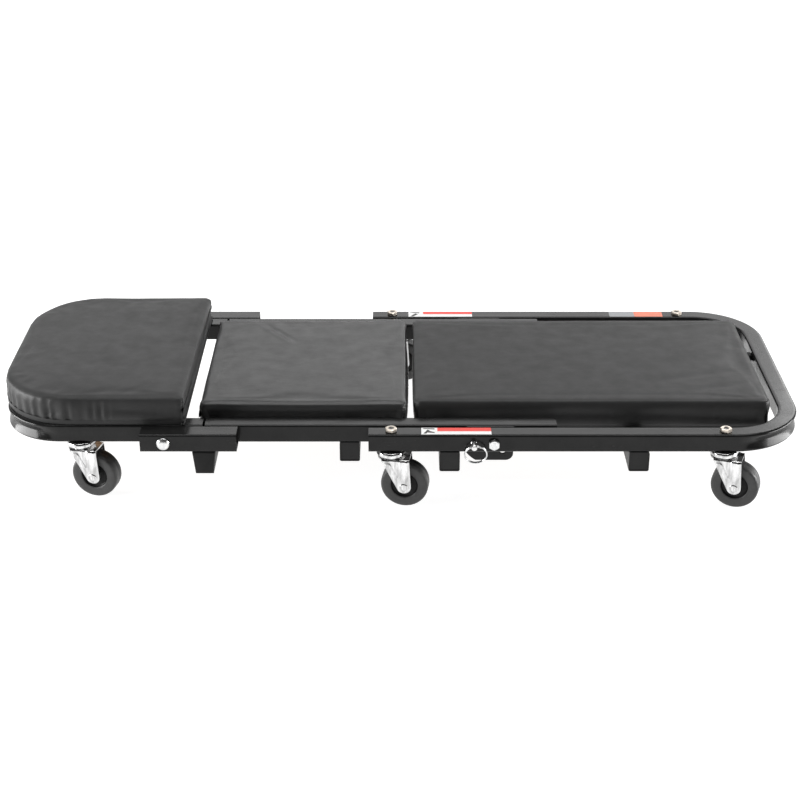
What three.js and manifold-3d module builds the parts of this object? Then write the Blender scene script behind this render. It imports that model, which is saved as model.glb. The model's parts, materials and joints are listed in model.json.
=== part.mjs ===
// Folding mechanics creeper: a flat three-section bed on six swivel casters that folds into a seat.
// Millimetres. +X points to the foot end, +Y to the left of a person lying on their back, +Z up.
// The origin is on the floor, under the middle of the object.
import * as THREE from 'three';
import { mergeVertices } from 'three/addons/utils/BufferGeometryUtils.js';
import Module from 'manifold-3d';

const wasm = await Module();
wasm.setup();

// ---- Driving dimensions ----
const TUBE = 25;                      // square steel tube, outside
const TUBE_WALL = 1.5;
const TUBE_CORNER = 3;
const RAIL_BOTTOM = 81;
const RAIL_Z = RAIL_BOTTOM + TUBE / 2;
const RAIL_TOP = RAIL_BOTTOM + TUBE;
const BASE_Y = 196.5;                 // centreline of the leg section's rails
const INNER_Y = 168;                  // centreline of the middle and head sections' rails
const GAP = 0.3;                      // between pieces that touch

// Bent frames: open ends of the legs, outer face of the cross run, centreline radius of the bends.
const LEG_FRAME = { openX: -41.5, endX: 538, y: BASE_Y, radius: 83.5 };
const HEAD_FRAME = { openX: -262.3, endX: -535, y: INNER_Y, radius: 69.5 };
const MIDDLE_RAIL_X = [-259, 208];

const PIVOT_X = 123.6;                // leg to middle section hinge
const HINGE_X = -311.2;               // middle to head section hinge
const LOCK_RADIUS = 26.5;             // lock pin to pivot
const FOLD_ANGLE = THREE.MathUtils.degToRad(120);
const PIN_X = PIVOT_X - LOCK_RADIUS;

const BOLT_RADIUS = 4;                // M8
const HOLE_RADIUS = 4.5;
const M8_HEX_ACROSS = 13;
const LOCKNUT_HEIGHT = 6.5;

const WHEEL_RADIUS = 31.75;           // 2.5 inch wheels
const TRAIL = 19;                     // caster axis to axle
const SIDES = [
  { name: 'right', sign: -1 },
  { name: 'left', sign: 1 },
];
const CASTERS = [
  { name: 'head', x: { right: -427, left: -427 }, y: INNER_Y, turn: -13 },
  { name: 'mid', x: { right: -11.8, left: -11.8 }, y: BASE_Y, turn: -8 },
  { name: 'foot', x: { right: 429, left: 423 }, y: BASE_Y, turn: -20 },
];

// Cross members under the rails: centre, and the rails that their ends are flush with.
const CROSS_MEMBERS = {
  fold: { x: 65.5, railY: BASE_Y },
  foot: { x: 315.5, railY: BASE_Y },
  mid: { x: -67, railY: INNER_Y },
  head: { x: -258.5, railY: BASE_Y },
};

// Pads: length, half width, corner radii at the head and foot ends, underside and top.
const BOARD_THICKNESS = 9;
const BOARD_INSET = 6;
const ROUND_OVER = 7;
const PADS = {
  leg: { x: [19.5, 498.5], halfWidth: 140, headCorner: 10, footCorner: 10, bottom: RAIL_BOTTOM, top: 121 },
  middle: { x: [-273, 10], halfWidth: 147, headCorner: 10, footCorner: 10, bottom: RAIL_BOTTOM, top: 120 },
  head: {
    x: [-542, -283], halfWidth: 180, headCorner: 104, footCorner: 10, bottom: RAIL_TOP + GAP, top: 144,
  },
};

// ---- Materials ----
const finish = (color, roughness, metalness) =>
  new THREE.MeshStandardMaterial({ color, roughness, metalness });
const powderCoat = finish(0x17181a, 0.4, 0.2);
const pressedSteel = finish(0x2e2f31, 0.55, 0.2);
const plywood = finish(0xb08d5c, 0.8, 0);
const leatherette = finish(0x2a2b2e, 0.55, 0);
const chrome = finish(0xdcdcdc, 0.15, 1);
const nickel = finish(0xa39b8f, 0.35, 1);
const zinc = finish(0xc9cccf, 0.35, 1);
const wheelPlastic = finish(0x38393c, 0.6, 0);

// ---- Geometry helpers ----

// One closed body with shared vertices, no collapsed triangles and its faces pointing out.
function weld(geometry) {
  const bare = new THREE.BufferGeometry();
  bare.setAttribute('position', geometry.getAttribute('position'));
  if (geometry.index) bare.setIndex(geometry.index);
  const merged = mergeVertices(bare, 1e-4);
  const corners = merged.index.array;
  const kept = [];
  for (let i = 0; i < corners.length; i += 3) {
    const [a, b, c] = [corners[i], corners[i + 1], corners[i + 2]];
    if (a !== b && b !== c && c !== a) kept.push(a, b, c);
  }
  merged.setIndex(kept);
  if (signedVolume(merged) < 0) {
    for (let i = 0; i < kept.length; i += 3) [kept[i], kept[i + 1]] = [kept[i + 1], kept[i]];
    merged.setIndex(kept);
  }
  return merged;
}

function signedVolume(geometry) {
  const position = geometry.getAttribute('position');
  const index = geometry.index.array;
  const [a, b, c] = [new THREE.Vector3(), new THREE.Vector3(), new THREE.Vector3()];
  let volume = 0;
  for (let i = 0; i < index.length; i += 3) {
    a.fromBufferAttribute(position, index[i]);
    b.fromBufferAttribute(position, index[i + 1]);
    c.fromBufferAttribute(position, index[i + 2]);
    volume += a.dot(b.cross(c)) / 6;
  }
  return volume;
}

function solid(geometry) {
  const welded = weld(geometry);
  return new wasm.Manifold(new wasm.Mesh({
    numProp: 3,
    vertProperties: new Float32Array(welded.getAttribute('position').array),
    triVerts: new Uint32Array(welded.index.array),
  }));
}

function geometryOf(body) {
  const mesh = body.getMesh();
  const geometry = new THREE.BufferGeometry();
  geometry.setAttribute('position', new THREE.BufferAttribute(mesh.vertProperties, 3));
  geometry.setIndex(new THREE.BufferAttribute(mesh.triVerts, 1));
  return geometry;
}

function cut(geometry, ...tools) {
  const body = tools.reduce((rest, tool) => rest.subtract(solid(tool)), solid(geometry));
  return geometryOf(body);
}

function join(geometry, ...others) {
  const body = others.reduce((whole, other) => whole.add(solid(other)), solid(geometry));
  return geometryOf(body);
}

function rectangle(width, height, corner) {
  const [x, y] = [width / 2, height / 2];
  const shape = new THREE.Shape();
  shape.absarc(x - corner, y - corner, corner, 0, Math.PI / 2);
  shape.absarc(-x + corner, y - corner, corner, Math.PI / 2, Math.PI);
  shape.absarc(-x + corner, -y + corner, corner, Math.PI, 1.5 * Math.PI);
  shape.absarc(x - corner, -y + corner, corner, 1.5 * Math.PI, 2 * Math.PI);
  shape.closePath();
  return shape;
}

function tubeSection(width, height, wall, corner) {
  const shape = rectangle(width, height, corner);
  shape.holes.push(rectangle(width - 2 * wall, height - 2 * wall, Math.max(corner - wall, 1)));
  return shape;
}

// A section drawn in Y and Z, run along X.
function barAlongX(section, fromX, toX) {
  const bar = new THREE.ExtrudeGeometry(section, {
    depth: toX - fromX, bevelEnabled: false, curveSegments: 1,
  });
  bar.applyMatrix4(new THREE.Matrix4().makeBasis(
    new THREE.Vector3(0, 1, 0), new THREE.Vector3(0, 0, 1), new THREE.Vector3(1, 0, 0),
  ));
  return bar.translate(fromX, 0, 0);
}

// A section drawn in X and Z, run along Y and centred on centreY.
function barAlongY(section, length, centreY = 0, curveSegments = 1) {
  const bar = new THREE.ExtrudeGeometry(section, {
    depth: length, bevelEnabled: false, curveSegments,
  });
  bar.rotateX(Math.PI / 2);
  return bar.translate(0, centreY + length / 2, 0);
}

function rodAlongY(radius, length, sides = 12) {
  return new THREE.CylinderGeometry(radius, radius, length, sides);
}

function rodAlongZ(radius, length, sides = 12) {
  return rodAlongY(radius, length, sides).rotateX(Math.PI / 2);
}

function turned(profile, sides) {
  const points = profile.map(([r, z]) => new THREE.Vector2(r, z));
  return new THREE.LatheGeometry(points, sides);      // about Y
}

function add(parent, name, geometry, material, x = 0, y = 0, z = 0) {
  const mesh = new THREE.Mesh(weld(geometry), material);
  mesh.geometry.computeVertexNormals();
  mesh.name = name;
  mesh.position.set(x, y, z);
  parent.add(mesh);
}

// ---- Bent frames ----

// A flat U: two straight legs joined by two quarter bends and a cross run.
class UPath extends THREE.Curve {
  constructor({ openX, endX, y, radius }, bendSteps) {
    super();
    const out = Math.sign(endX - openX);
    const bendX = endX - out * (TUBE / 2 + radius);
    this.stations = [{ p: [openX, -y], t: [out, 0] }];
    for (let i = 0; i <= bendSteps; i += 1) {
      this.stations.push(this.bendStation(bendX, y, radius, out, -1, i / bendSteps));
    }
    for (let i = bendSteps; i >= 0; i -= 1) {
      this.stations.push(this.bendStation(bendX, y, radius, out, 1, i / bendSteps));
    }
    this.stations.push({ p: [openX, y], t: [-out, 0] });
  }

  bendStation(bendX, y, radius, out, side, share) {
    const angle = share * Math.PI / 2;
    return {
      p: [bendX + out * radius * Math.sin(angle), side * (y - radius + radius * Math.cos(angle))],
      t: [-side * out * Math.cos(angle), Math.sin(angle)],
    };
  }

  station(share) {
    return this.stations[Math.round(share * (this.stations.length - 1))];
  }

  getPointAt(share, target = new THREE.Vector3()) {
    return target.set(...this.station(share).p, 0);
  }

  getTangentAt(share, target = new THREE.Vector3()) {
    return target.set(...this.station(share).t, 0);
  }
}

function uFrame(outline) {
  const path = new UPath(outline, 7);
  const frame = new THREE.ExtrudeGeometry(tubeSection(TUBE, TUBE, TUBE_WALL, TUBE_CORNER), {
    extrudePath: path, steps: path.stations.length - 1, curveSegments: 1,
  });
  return frame.translate(0, 0, RAIL_Z);
}

function holeAlongY(x, z) {
  return rodAlongY(HOLE_RADIUS, 3 * BASE_Y).translate(x, 0, z);
}

function casterHoles(names) {
  const holes = [];
  for (const { name, x, y } of CASTERS.filter((caster) => names.includes(caster.name))) {
    for (const side of SIDES) {
      holes.push(rodAlongZ(HOLE_RADIUS, 3 * TUBE).translate(x[side.name], side.sign * y, RAIL_Z));
    }
  }
  return holes;
}

// ---- Cross members: pressed box sections that carry the pads ----

const CROSS_WALL = 1.5;
const BOX_CROSS = { width: 27, height: 28, corner: 2.5 };
const TAPERED_CROSS = { top: 31, bottom: 24, height: 32 };

function crossMember({ x, railY }) {
  const { width, height, corner } = BOX_CROSS;
  const section = tubeSection(width, height, CROSS_WALL, corner);
  return barAlongY(section, 2 * railY + TUBE).translate(x, 0, RAIL_BOTTOM - GAP - height / 2);
}

function trapezium(topWidth, bottomWidth, height) {
  const shape = new THREE.Shape();
  shape.moveTo(-topWidth / 2, height / 2);
  shape.lineTo(-bottomWidth / 2, -height / 2);
  shape.lineTo(bottomWidth / 2, -height / 2);
  shape.lineTo(topWidth / 2, height / 2);
  shape.closePath();
  return shape;
}

function taperedCrossMember({ x, railY }) {
  const { top, bottom, height } = TAPERED_CROSS;
  const section = trapezium(top, bottom, height);
  section.holes.push(trapezium(top - 2 * CROSS_WALL, bottom - 2 * CROSS_WALL, height - 2 * CROSS_WALL));
  return barAlongY(section, 2 * railY + TUBE).translate(x, 0, RAIL_BOTTOM - GAP - height / 2);
}

// ---- Pads: a plywood board in the underside of a foam cushion ----

function padOutline(x0, x1, halfWidth, headCorner, footCorner) {
  const shape = new THREE.Shape();
  shape.absarc(x1 - footCorner, halfWidth - footCorner, footCorner, 0, Math.PI / 2);
  shape.absarc(x0 + headCorner, halfWidth - headCorner, headCorner, Math.PI / 2, Math.PI);
  shape.absarc(x0 + headCorner, -halfWidth + headCorner, headCorner, Math.PI, 1.5 * Math.PI);
  shape.absarc(x1 - footCorner, -halfWidth + footCorner, footCorner, 1.5 * Math.PI, 2 * Math.PI);
  shape.closePath();
  return shape;
}

function addPad(parent, name, pad, pockets = []) {
  const outline = (inset) => padOutline(
    pad.x[0] + inset, pad.x[1] - inset, pad.halfWidth - inset,
    Math.max(pad.headCorner - inset, 2), Math.max(pad.footCorner - inset, 2),
  );
  const curveSegments = pad.headCorner > 50 ? 5 : 1;
  const plate = (inset, bottom, top) => new THREE.ExtrudeGeometry(outline(inset), {
    depth: top - bottom, bevelEnabled: false, curveSegments,
  }).translate(0, 0, bottom);

  const boardTop = pad.bottom + BOARD_THICKNESS;
  const board = plate(BOARD_INSET, pad.bottom, boardTop);
  add(parent, `${name}_board`, pockets.length ? cut(board, ...pockets) : board, plywood);

  const cushion = new THREE.ExtrudeGeometry(outline(ROUND_OVER), {
    depth: pad.top - pad.bottom - 2 * ROUND_OVER,
    bevelThickness: ROUND_OVER,
    bevelSize: ROUND_OVER,
    bevelSegments: 2,
    curveSegments,
  }).translate(0, 0, pad.bottom + ROUND_OVER);
  const boardSpace = plate(BOARD_INSET - GAP, pad.bottom - 5, boardTop + GAP);
  add(parent, `${name}_cushion`, cut(cushion, boardSpace, ...pockets), leatherette);
}

// ---- Bolts and nuts, made about Y with the head at +Y, for the left side ----

const HEX_HEAD_HEIGHT = 5.3;
const DOME_RADIUS = 8.5;
const DOME_HEIGHT = 4.5;

function hexBolt(length) {
  const height = HEX_HEAD_HEIGHT;
  const head = rodAlongY(M8_HEX_ACROSS / Math.sqrt(3), height, 6).translate(0, height / 2, 0);
  const shank = rodAlongY(BOLT_RADIUS, length + height / 2);
  return join(head, shank.translate(0, (height / 2 - length) / 2, 0));
}

function domedBolt(length) {
  return turned([
    [0, -length], [BOLT_RADIUS, -length], [BOLT_RADIUS, 0], [DOME_RADIUS, 0],
    [DOME_RADIUS, 0.4 * DOME_HEIGHT], [0.8 * DOME_RADIUS, 0.85 * DOME_HEIGHT], [0, DOME_HEIGHT],
  ], 12);
}

function hexNut(height) {
  return cut(rodAlongY(M8_HEX_ACROSS / Math.sqrt(3), height, 6), rodAlongY(HOLE_RADIUS, 2 * height));
}

// Turns a piece made for the left side to face the other way on the right side.
function facing(geometry, sign) {
  return sign > 0 ? geometry : geometry.rotateX(Math.PI);
}

// ---- Lock hardware ----

const PLATE_THICKNESS = 2.8;
const PIN_RADIUS = 4;
const PIN_HEAD = 13.5;                // how far the pin stands out of the rail
const RING_HOLE_RADIUS = 2.1;
const RING_STANDOFF = 7.8;            // ring hole from the rail's outer face
const RING_RADIUS = 14.5;
const RING_WIRE = 1;
const RING_LEAN = THREE.MathUtils.degToRad(15);   // its lower side hangs in under the rail
const RING_SLEW = THREE.MathUtils.degToRad(10);   // and towards the foot end

// A flat plate round the pivot, with one lock hole for each end of the fold.
function lockPlate() {
  const sweep = 44;                   // reach that passes the fold cross member
  const [left, right, top, bottom, corner] = [-35, 27.3, 12, -37.5, 10];
  const leftReach = Math.sqrt(sweep ** 2 - left ** 2);
  const bottomReach = Math.sqrt(sweep ** 2 - bottom ** 2);
  const shape = new THREE.Shape();
  shape.moveTo(right, top);
  shape.lineTo(left, top);
  shape.absarc(0, 0, sweep, Math.atan2(-leftReach, left), Math.atan2(bottom, -bottomReach));
  shape.absarc(right - corner, bottom + corner, corner, -Math.PI / 2, 0);
  shape.closePath();
  const plate = barAlongY(shape, PLATE_THICKNESS, 0, 4);
  const lockHoles = [Math.PI, Math.PI + FOLD_ANGLE].map((angle) => rodAlongY(PIN_RADIUS + 0.5, 20)
    .translate(LOCK_RADIUS * Math.cos(angle), 0, LOCK_RADIUS * Math.sin(angle)));
  return cut(plate, rodAlongY(HOLE_RADIUS, 20), ...lockHoles);
}

// The tip starts flush inside the rail and the ring hole lies across the head.
function lockPin() {
  const body = turned([
    [0, 0], [PIN_RADIUS - 0.8, 0], [PIN_RADIUS, 1], [PIN_RADIUS, TUBE + PIN_HEAD - 1],
    [PIN_RADIUS - 0.8, TUBE + PIN_HEAD], [0, TUBE + PIN_HEAD],
  ], 12);
  const ringHole = rodAlongY(RING_HOLE_RADIUS, 20, 12).rotateZ(Math.PI / 2);
  return cut(body, ringHole.translate(0, TUBE + RING_STANDOFF, 0));
}

function addLockSet(parent, { name, sign }) {
  const plateY = sign * (BASE_Y - TUBE / 2 - GAP - PLATE_THICKNESS / 2);
  add(parent, `lock_plate_${name}`, lockPlate(), powderCoat, PIVOT_X, plateY, RAIL_Z);

  const tipY = sign * (BASE_Y - TUBE / 2 + GAP);
  add(parent, `lock_pin_${name}`, facing(lockPin(), sign), zinc, PIN_X, tipY, RAIL_Z);

  const ring = new THREE.TorusGeometry(RING_RADIUS, RING_WIRE, 5, 22).rotateX(Math.PI / 2);
  ring.translate(0, 0, -RING_RADIUS + RING_WIRE / 3).rotateY(-RING_SLEW).rotateX(-sign * RING_LEAN);
  const ringY = tipY + sign * (TUBE + RING_STANDOFF);
  add(parent, `pin_ring_${name}`, ring, zinc, PIN_X, ringY, RAIL_Z);
}

function addPivotBolt(parent, { name, sign }) {
  const outer = BASE_Y + TUBE / 2 + GAP;
  const inner = INNER_Y - TUBE / 2 - GAP;
  const bolt = facing(hexBolt(outer - inner + LOCKNUT_HEIGHT + 1), sign);
  add(parent, `pivot_bolt_${name}`, bolt, zinc, PIVOT_X, sign * outer, RAIL_Z);
  const nutY = sign * (inner - LOCKNUT_HEIGHT / 2);
  add(parent, `pivot_nut_${name}`, hexNut(LOCKNUT_HEIGHT), zinc, PIVOT_X, nutY, RAIL_Z);
}

// ---- Head hinge: a hollow channel on each side, outside the head frame ----

const CHANNEL_X = [-342, -215];
const CHANNEL_WIDTH = 28;
const CHANNEL_CORNER = 2;
const CHANNEL_Y = INNER_Y + TUBE / 2 + GAP + CHANNEL_WIDTH / 2;

function hingeChannel() {
  const section = tubeSection(CHANNEL_WIDTH, TUBE, TUBE_WALL, CHANNEL_CORNER);
  return cut(barAlongX(section, ...CHANNEL_X), rodAlongY(HOLE_RADIUS, 3 * TUBE).translate(HINGE_X, 0, 0));
}

function addHinge(parent, { name, sign }) {
  add(parent, `hinge_channel_${name}`, hingeChannel(), powderCoat, 0, sign * CHANNEL_Y, RAIL_Z);
  const outer = CHANNEL_Y + CHANNEL_WIDTH / 2 + GAP;
  const inner = INNER_Y - TUBE / 2 - GAP;
  const bolt = facing(domedBolt(outer - inner + LOCKNUT_HEIGHT + 1), sign);
  add(parent, `hinge_bolt_${name}`, bolt, zinc, HINGE_X, sign * outer, RAIL_Z);
  const nutY = sign * (inner - LOCKNUT_HEIGHT / 2);
  add(parent, `hinge_nut_${name}`, hexNut(LOCKNUT_HEIGHT), zinc, HINGE_X, nutY, RAIL_Z);
}

// ---- Casters ----

const RACE_RADIUS = 19;
const RACE_BOTTOM = 74.2;
const KINGPIN_RADIUS = 6;
const CROWN_Z = [69, 71.4];
const RIVET_Z = [66.2, 68.6];         // kingpin's riveted end, under the fork crown
const FORK_PLATE = 2.2;
const FORK_INNER = 13.2;              // half of the width between the fork's side plates
const FORK_END_RADIUS = 9.5;
const NUT_HEIGHT = 4.5;               // thin nut on the stem, on top of the rail

// Threaded stem up through the rail, raceway cup and riveted kingpin that holds the fork.
function casterStem() {
  const top = RAIL_BOTTOM - GAP;
  const stemTop = RAIL_TOP + GAP + NUT_HEIGHT - 1;
  return turned([
    [0, stemTop], [BOLT_RADIUS, stemTop], [BOLT_RADIUS, top], [RACE_RADIUS - 1, top],
    [RACE_RADIUS, top - 3], [RACE_RADIUS - 2, RACE_BOTTOM],
    [KINGPIN_RADIUS, RACE_BOTTOM], [KINGPIN_RADIUS, RIVET_Z[1]], [KINGPIN_RADIUS + 3, RIVET_Z[1]],
    [KINGPIN_RADIUS + 3, RIVET_Z[0]], [0, RIVET_Z[0]],
  ], 16).rotateX(Math.PI / 2);
}

function forkSide(side) {
  const [front, rear] = [-11, 26];
  const shape = new THREE.Shape();
  shape.moveTo(rear, CROWN_Z[1]);
  shape.lineTo(front, CROWN_Z[1]);
  shape.lineTo(front, CROWN_Z[1] - 5);
  shape.absarc(TRAIL, WHEEL_RADIUS, FORK_END_RADIUS, 1.2 * Math.PI, 2 * Math.PI);
  shape.closePath();
  return barAlongY(shape, FORK_PLATE, side * (FORK_INNER + FORK_PLATE / 2), 2);
}

// A crown plate with a raised raceway, and two side plates down to the axle.
function casterFork() {
  const crownHeight = CROWN_Z[1] - CROWN_Z[0];
  const crownWidth = 2 * (FORK_INNER + FORK_PLATE);
  const bridge = new THREE.BoxGeometry(37, crownWidth, crownHeight)
    .translate(7.5, 0, CROWN_Z[0] + crownHeight / 2);
  const disc = rodAlongZ(17.5, crownHeight, 16).translate(0, 0, CROWN_Z[0] + crownHeight / 2);
  const raised = RACE_BOTTOM - GAP - CROWN_Z[0];
  const raceway = rodAlongZ(13, raised).translate(0, 0, CROWN_Z[0] + raised / 2);
  return cut(
    join(bridge, disc, raceway, forkSide(-1), forkSide(1)),
    rodAlongZ(KINGPIN_RADIUS + 0.5, 40).translate(0, 0, CROWN_Z[0]),
    rodAlongY(HOLE_RADIUS, 60).translate(TRAIL, 0, WHEEL_RADIUS),
  );
}

function casterAxle() {
  const half = FORK_INNER + FORK_PLATE + GAP;
  const headRadius = 5.6;
  const headHeight = 1.8;
  return turned([
    [0, -half - headHeight], [0.7 * headRadius, -half - headHeight], [headRadius, -half],
    [BOLT_RADIUS, -half], [BOLT_RADIUS, half],
    [headRadius, half], [0.7 * headRadius, half + headHeight], [0, half + headHeight],
  ], 10);
}

// One-piece wheel with a recessed web and a hub boss on each face.
function casterWheel() {
  const half = [
    [HOLE_RADIUS, 12.8], [8, 12.8], [8.5, 7], [17, 7], [18.5, 10.6], [29, 11], [WHEEL_RADIUS, 8.6],
  ];
  const mirrored = half.map(([r, z]) => [r, -z]).reverse();
  return turned([...half, ...mirrored, half[0]], 20);
}

function addCaster(parent, caster, { name, sign }) {
  const label = `caster_${caster.name}_${name}`;
  const fixed = new THREE.Group();
  fixed.position.set(caster.x[name], sign * caster.y, 0);
  parent.add(fixed);
  const nut = hexNut(NUT_HEIGHT).rotateX(Math.PI / 2);
  add(fixed, `${label}_nut`, nut, nickel, 0, 0, RAIL_TOP + GAP + NUT_HEIGHT / 2);
  add(fixed, `${label}_stem`, casterStem(), chrome);

  const swivel = new THREE.Group();
  swivel.rotation.z = THREE.MathUtils.degToRad(caster.turn);
  fixed.add(swivel);
  add(swivel, `${label}_fork`, casterFork(), chrome);
  add(swivel, `${label}_axle`, casterAxle(), zinc, TRAIL, 0, WHEEL_RADIUS);
  add(swivel, `${label}_wheel`, casterWheel(), wheelPlastic, TRAIL, 0, WHEEL_RADIUS);
}

// ---- Sections ----

function legSection() {
  const section = new THREE.Group();
  const frame = cut(
    uFrame(LEG_FRAME),
    holeAlongY(PIVOT_X, RAIL_Z), holeAlongY(PIN_X, RAIL_Z), ...casterHoles(['mid', 'foot']),
  );
  add(section, 'base_frame', frame, powderCoat);
  add(section, 'base_cross_fold', crossMember(CROSS_MEMBERS.fold), pressedSteel);
  add(section, 'base_cross_foot', crossMember(CROSS_MEMBERS.foot), pressedSteel);
  addPad(section, 'leg', PADS.leg);
  return section;
}

function middleSection() {
  const section = new THREE.Group();
  const rail = cut(
    barAlongX(tubeSection(TUBE, TUBE, TUBE_WALL, TUBE_CORNER), ...MIDDLE_RAIL_X),
    rodAlongY(HOLE_RADIUS, 2 * TUBE).translate(PIVOT_X, 0, 0),
  );
  for (const { name, sign } of SIDES) {
    add(section, `middle_rail_${name}`, rail.clone(), powderCoat, 0, sign * INNER_Y, RAIL_Z);
  }
  add(section, 'middle_cross_mid', crossMember(CROSS_MEMBERS.mid), pressedSteel);
  add(section, 'middle_cross_head', taperedCrossMember(CROSS_MEMBERS.head), pressedSteel);
  addPad(section, 'middle', PADS.middle);
  return section;
}

function headSection() {
  const section = new THREE.Group();
  const frame = cut(
    uFrame(HEAD_FRAME), holeAlongY(HINGE_X, RAIL_Z), ...casterHoles(['head']),
  );
  add(section, 'head_frame', frame, powderCoat);
  const [headCaster] = CASTERS;
  const nutPockets = SIDES.map(({ name, sign }) => rodAlongZ(M8_HEX_ACROSS - 2, 2 * NUT_HEIGHT + 3)
    .translate(headCaster.x[name], sign * headCaster.y, RAIL_TOP));
  addPad(section, 'head', PADS.head, nutPockets);
  return section;
}

const creeper = new THREE.Group();
creeper.add(legSection(), middleSection(), headSection());
for (const side of SIDES) {
  addPivotBolt(creeper, side);
  addLockSet(creeper, side);
  addHinge(creeper, side);
  for (const caster of CASTERS) addCaster(creeper, caster, side);
}

export default creeper;
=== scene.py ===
"""Looks of a folding mechanics creeper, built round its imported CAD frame.

Shapes are written in millimetres and scaled once, when they become meshes.
+X points to the foot end, +Y to the left of a person lying on their back, +Z up.
"""

import json
import math
from itertools import product

import bmesh
import bpy
import numpy as np
from mathutils import Matrix, Vector, noise
from mathutils.bvhtree import BVHTree


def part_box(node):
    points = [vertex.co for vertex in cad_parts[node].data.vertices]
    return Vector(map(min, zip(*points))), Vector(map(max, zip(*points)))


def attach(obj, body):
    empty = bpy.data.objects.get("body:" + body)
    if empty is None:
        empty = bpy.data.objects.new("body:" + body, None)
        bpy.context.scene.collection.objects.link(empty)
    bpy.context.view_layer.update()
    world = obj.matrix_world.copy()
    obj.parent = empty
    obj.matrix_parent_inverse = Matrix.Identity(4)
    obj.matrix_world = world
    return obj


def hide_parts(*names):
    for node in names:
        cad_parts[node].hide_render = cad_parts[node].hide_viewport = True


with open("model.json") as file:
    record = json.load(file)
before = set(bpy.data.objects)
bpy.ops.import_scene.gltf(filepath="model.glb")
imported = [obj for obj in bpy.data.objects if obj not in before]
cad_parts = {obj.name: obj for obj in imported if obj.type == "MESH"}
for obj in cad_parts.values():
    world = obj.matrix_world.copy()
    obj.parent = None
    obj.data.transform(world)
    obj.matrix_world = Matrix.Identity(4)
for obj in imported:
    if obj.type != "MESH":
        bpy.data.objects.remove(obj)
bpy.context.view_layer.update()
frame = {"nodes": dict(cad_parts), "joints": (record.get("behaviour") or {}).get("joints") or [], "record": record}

# ---- Places and sizes, in millimetres, taken from the frame ----

MM = 0.001
SIDES = {"right": -1, "left": 1}
JOINTS = {joint["name"]: joint for joint in frame["joints"]}
BODY_OF = {
    node: body
    for body, nodes in frame["record"]["behaviour"]["bodies"].items()
    for node in nodes
}


def box(node):
    """Lowest and highest corner of a CAD node."""
    low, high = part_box(node)
    return low / MM, high / MM


def joint_point(name):
    return Vector(JOINTS[name]["pos_m"]) / MM


BASE_LOW, BASE_HIGH = box("base_frame")
HEAD_LOW, HEAD_HIGH = box("head_frame")
TUBE = BASE_HIGH.z - BASE_LOW.z
RAIL_TOP = BASE_HIGH.z
RAIL_BOTTOM = BASE_LOW.z
RAIL_Z = (RAIL_TOP + RAIL_BOTTOM) / 2
BASE_Y = BASE_HIGH.y - TUBE / 2
INNER_Y = HEAD_HIGH.y - TUBE / 2
LEG_BEND = 83.5                # centreline radius of the leg frame's bends
HEAD_BEND = 69.5
PIVOT = joint_point("fold_middle")
PIN_X = joint_point("pin_ring_right_swing").x
LOCK_RADIUS = PIVOT.x - PIN_X
FOLD_ANGLE = math.radians(JOINTS["fold_middle"]["range_deg"][1])
WHEEL_RADIUS = joint_point("caster_mid_right_spin").z
TRAIL = (
    joint_point("caster_mid_right_spin").xy - joint_point("caster_mid_right_swivel").xy
).length

TUBE_WALL = 1.5
TUBE_CORNER = 3.0
PIN_HOLE = 4.5                 # radius
BEND_DENT = 4.6                # how far a bend's outer wall sinks in
DENT_POWER = 1.15              # 1 is a V across the wall, and more makes it rounder
GAP = 0.3                      # between pieces that touch


# ---- Shapes ----

class Shape:
    """Points in millimetres, faces, and the material index of each face."""

    def __init__(self, points=(), faces=(), tags=None):
        self.points = [Vector(p) for p in points]
        self.faces = [tuple(f) for f in faces]
        self.tags = list(tags) if tags is not None else [0] * len(self.faces)

    def add(self, other):
        start = len(self.points)
        self.points += other.points
        self.faces += [tuple(start + i for i in face) for face in other.faces]
        self.tags += other.tags
        return self

    def moved(self, matrix):
        return Shape([matrix @ p for p in self.points], self.faces, self.tags)

    def tagged(self, tag):
        return Shape(self.points, self.faces, [tag] * len(self.faces))


def turn(angle, axis, x=0.0, y=0.0, z=0.0):
    """A matrix that turns about an axis through the origin, then moves."""
    return Matrix.Translation((x, y, z)) @ Matrix.Rotation(angle, 4, axis)


def shift(x, y, z):
    return Matrix.Translation((x, y, z))


def in_metres(matrix):
    placed = matrix.copy()
    placed.translation = placed.translation * MM
    return placed


def arc(centre, radius, start, end, steps):
    """Points of an arc in a plane; the angles are in degrees."""
    angles = [math.radians(start + (end - start) * i / steps) for i in range(steps + 1)]
    return [(centre[0] + radius * math.cos(a), centre[1] + radius * math.sin(a)) for a in angles]


def grid_faces(rows, columns, start=0, wrap=False):
    """Quads between rows of points; wrap closes each row on itself."""
    faces = []
    for row in range(rows - 1):
        for column in range(columns if wrap else columns - 1):
            following = (column + 1) % columns
            a = start + row * columns
            b = a + columns
            faces.append((a + column, a + following, b + following, b + column))
    return faces


def capped_rows(points, rows, columns):
    """A skin over closed rows of points, with its first and last row filled in."""
    last = (rows - 1) * columns
    caps = [tuple(range(columns)), tuple(range(last, last + columns))]
    return Shape(points, grid_faces(rows, columns, wrap=True) + caps)


def sheet(outer, inner, rows, columns, tags=()):
    """A closed skin from two grids of points that lie over each other; tags are the outer faces'."""
    start = rows * columns
    faces = grid_faces(rows, columns) + grid_faces(rows, columns, start)
    border = (
        list(range(columns))
        + [row * columns + columns - 1 for row in range(1, rows)]
        + [(rows - 1) * columns + i for i in range(columns - 2, -1, -1)]
        + [row * columns for row in range(rows - 2, 0, -1)]
    )
    faces += [(a, b, b + start, a + start) for a, b in zip(border, border[1:] + border[:1])]
    return Shape(outer + inner, faces, list(tags) + [0] * (len(faces) - len(tags)))


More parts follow.
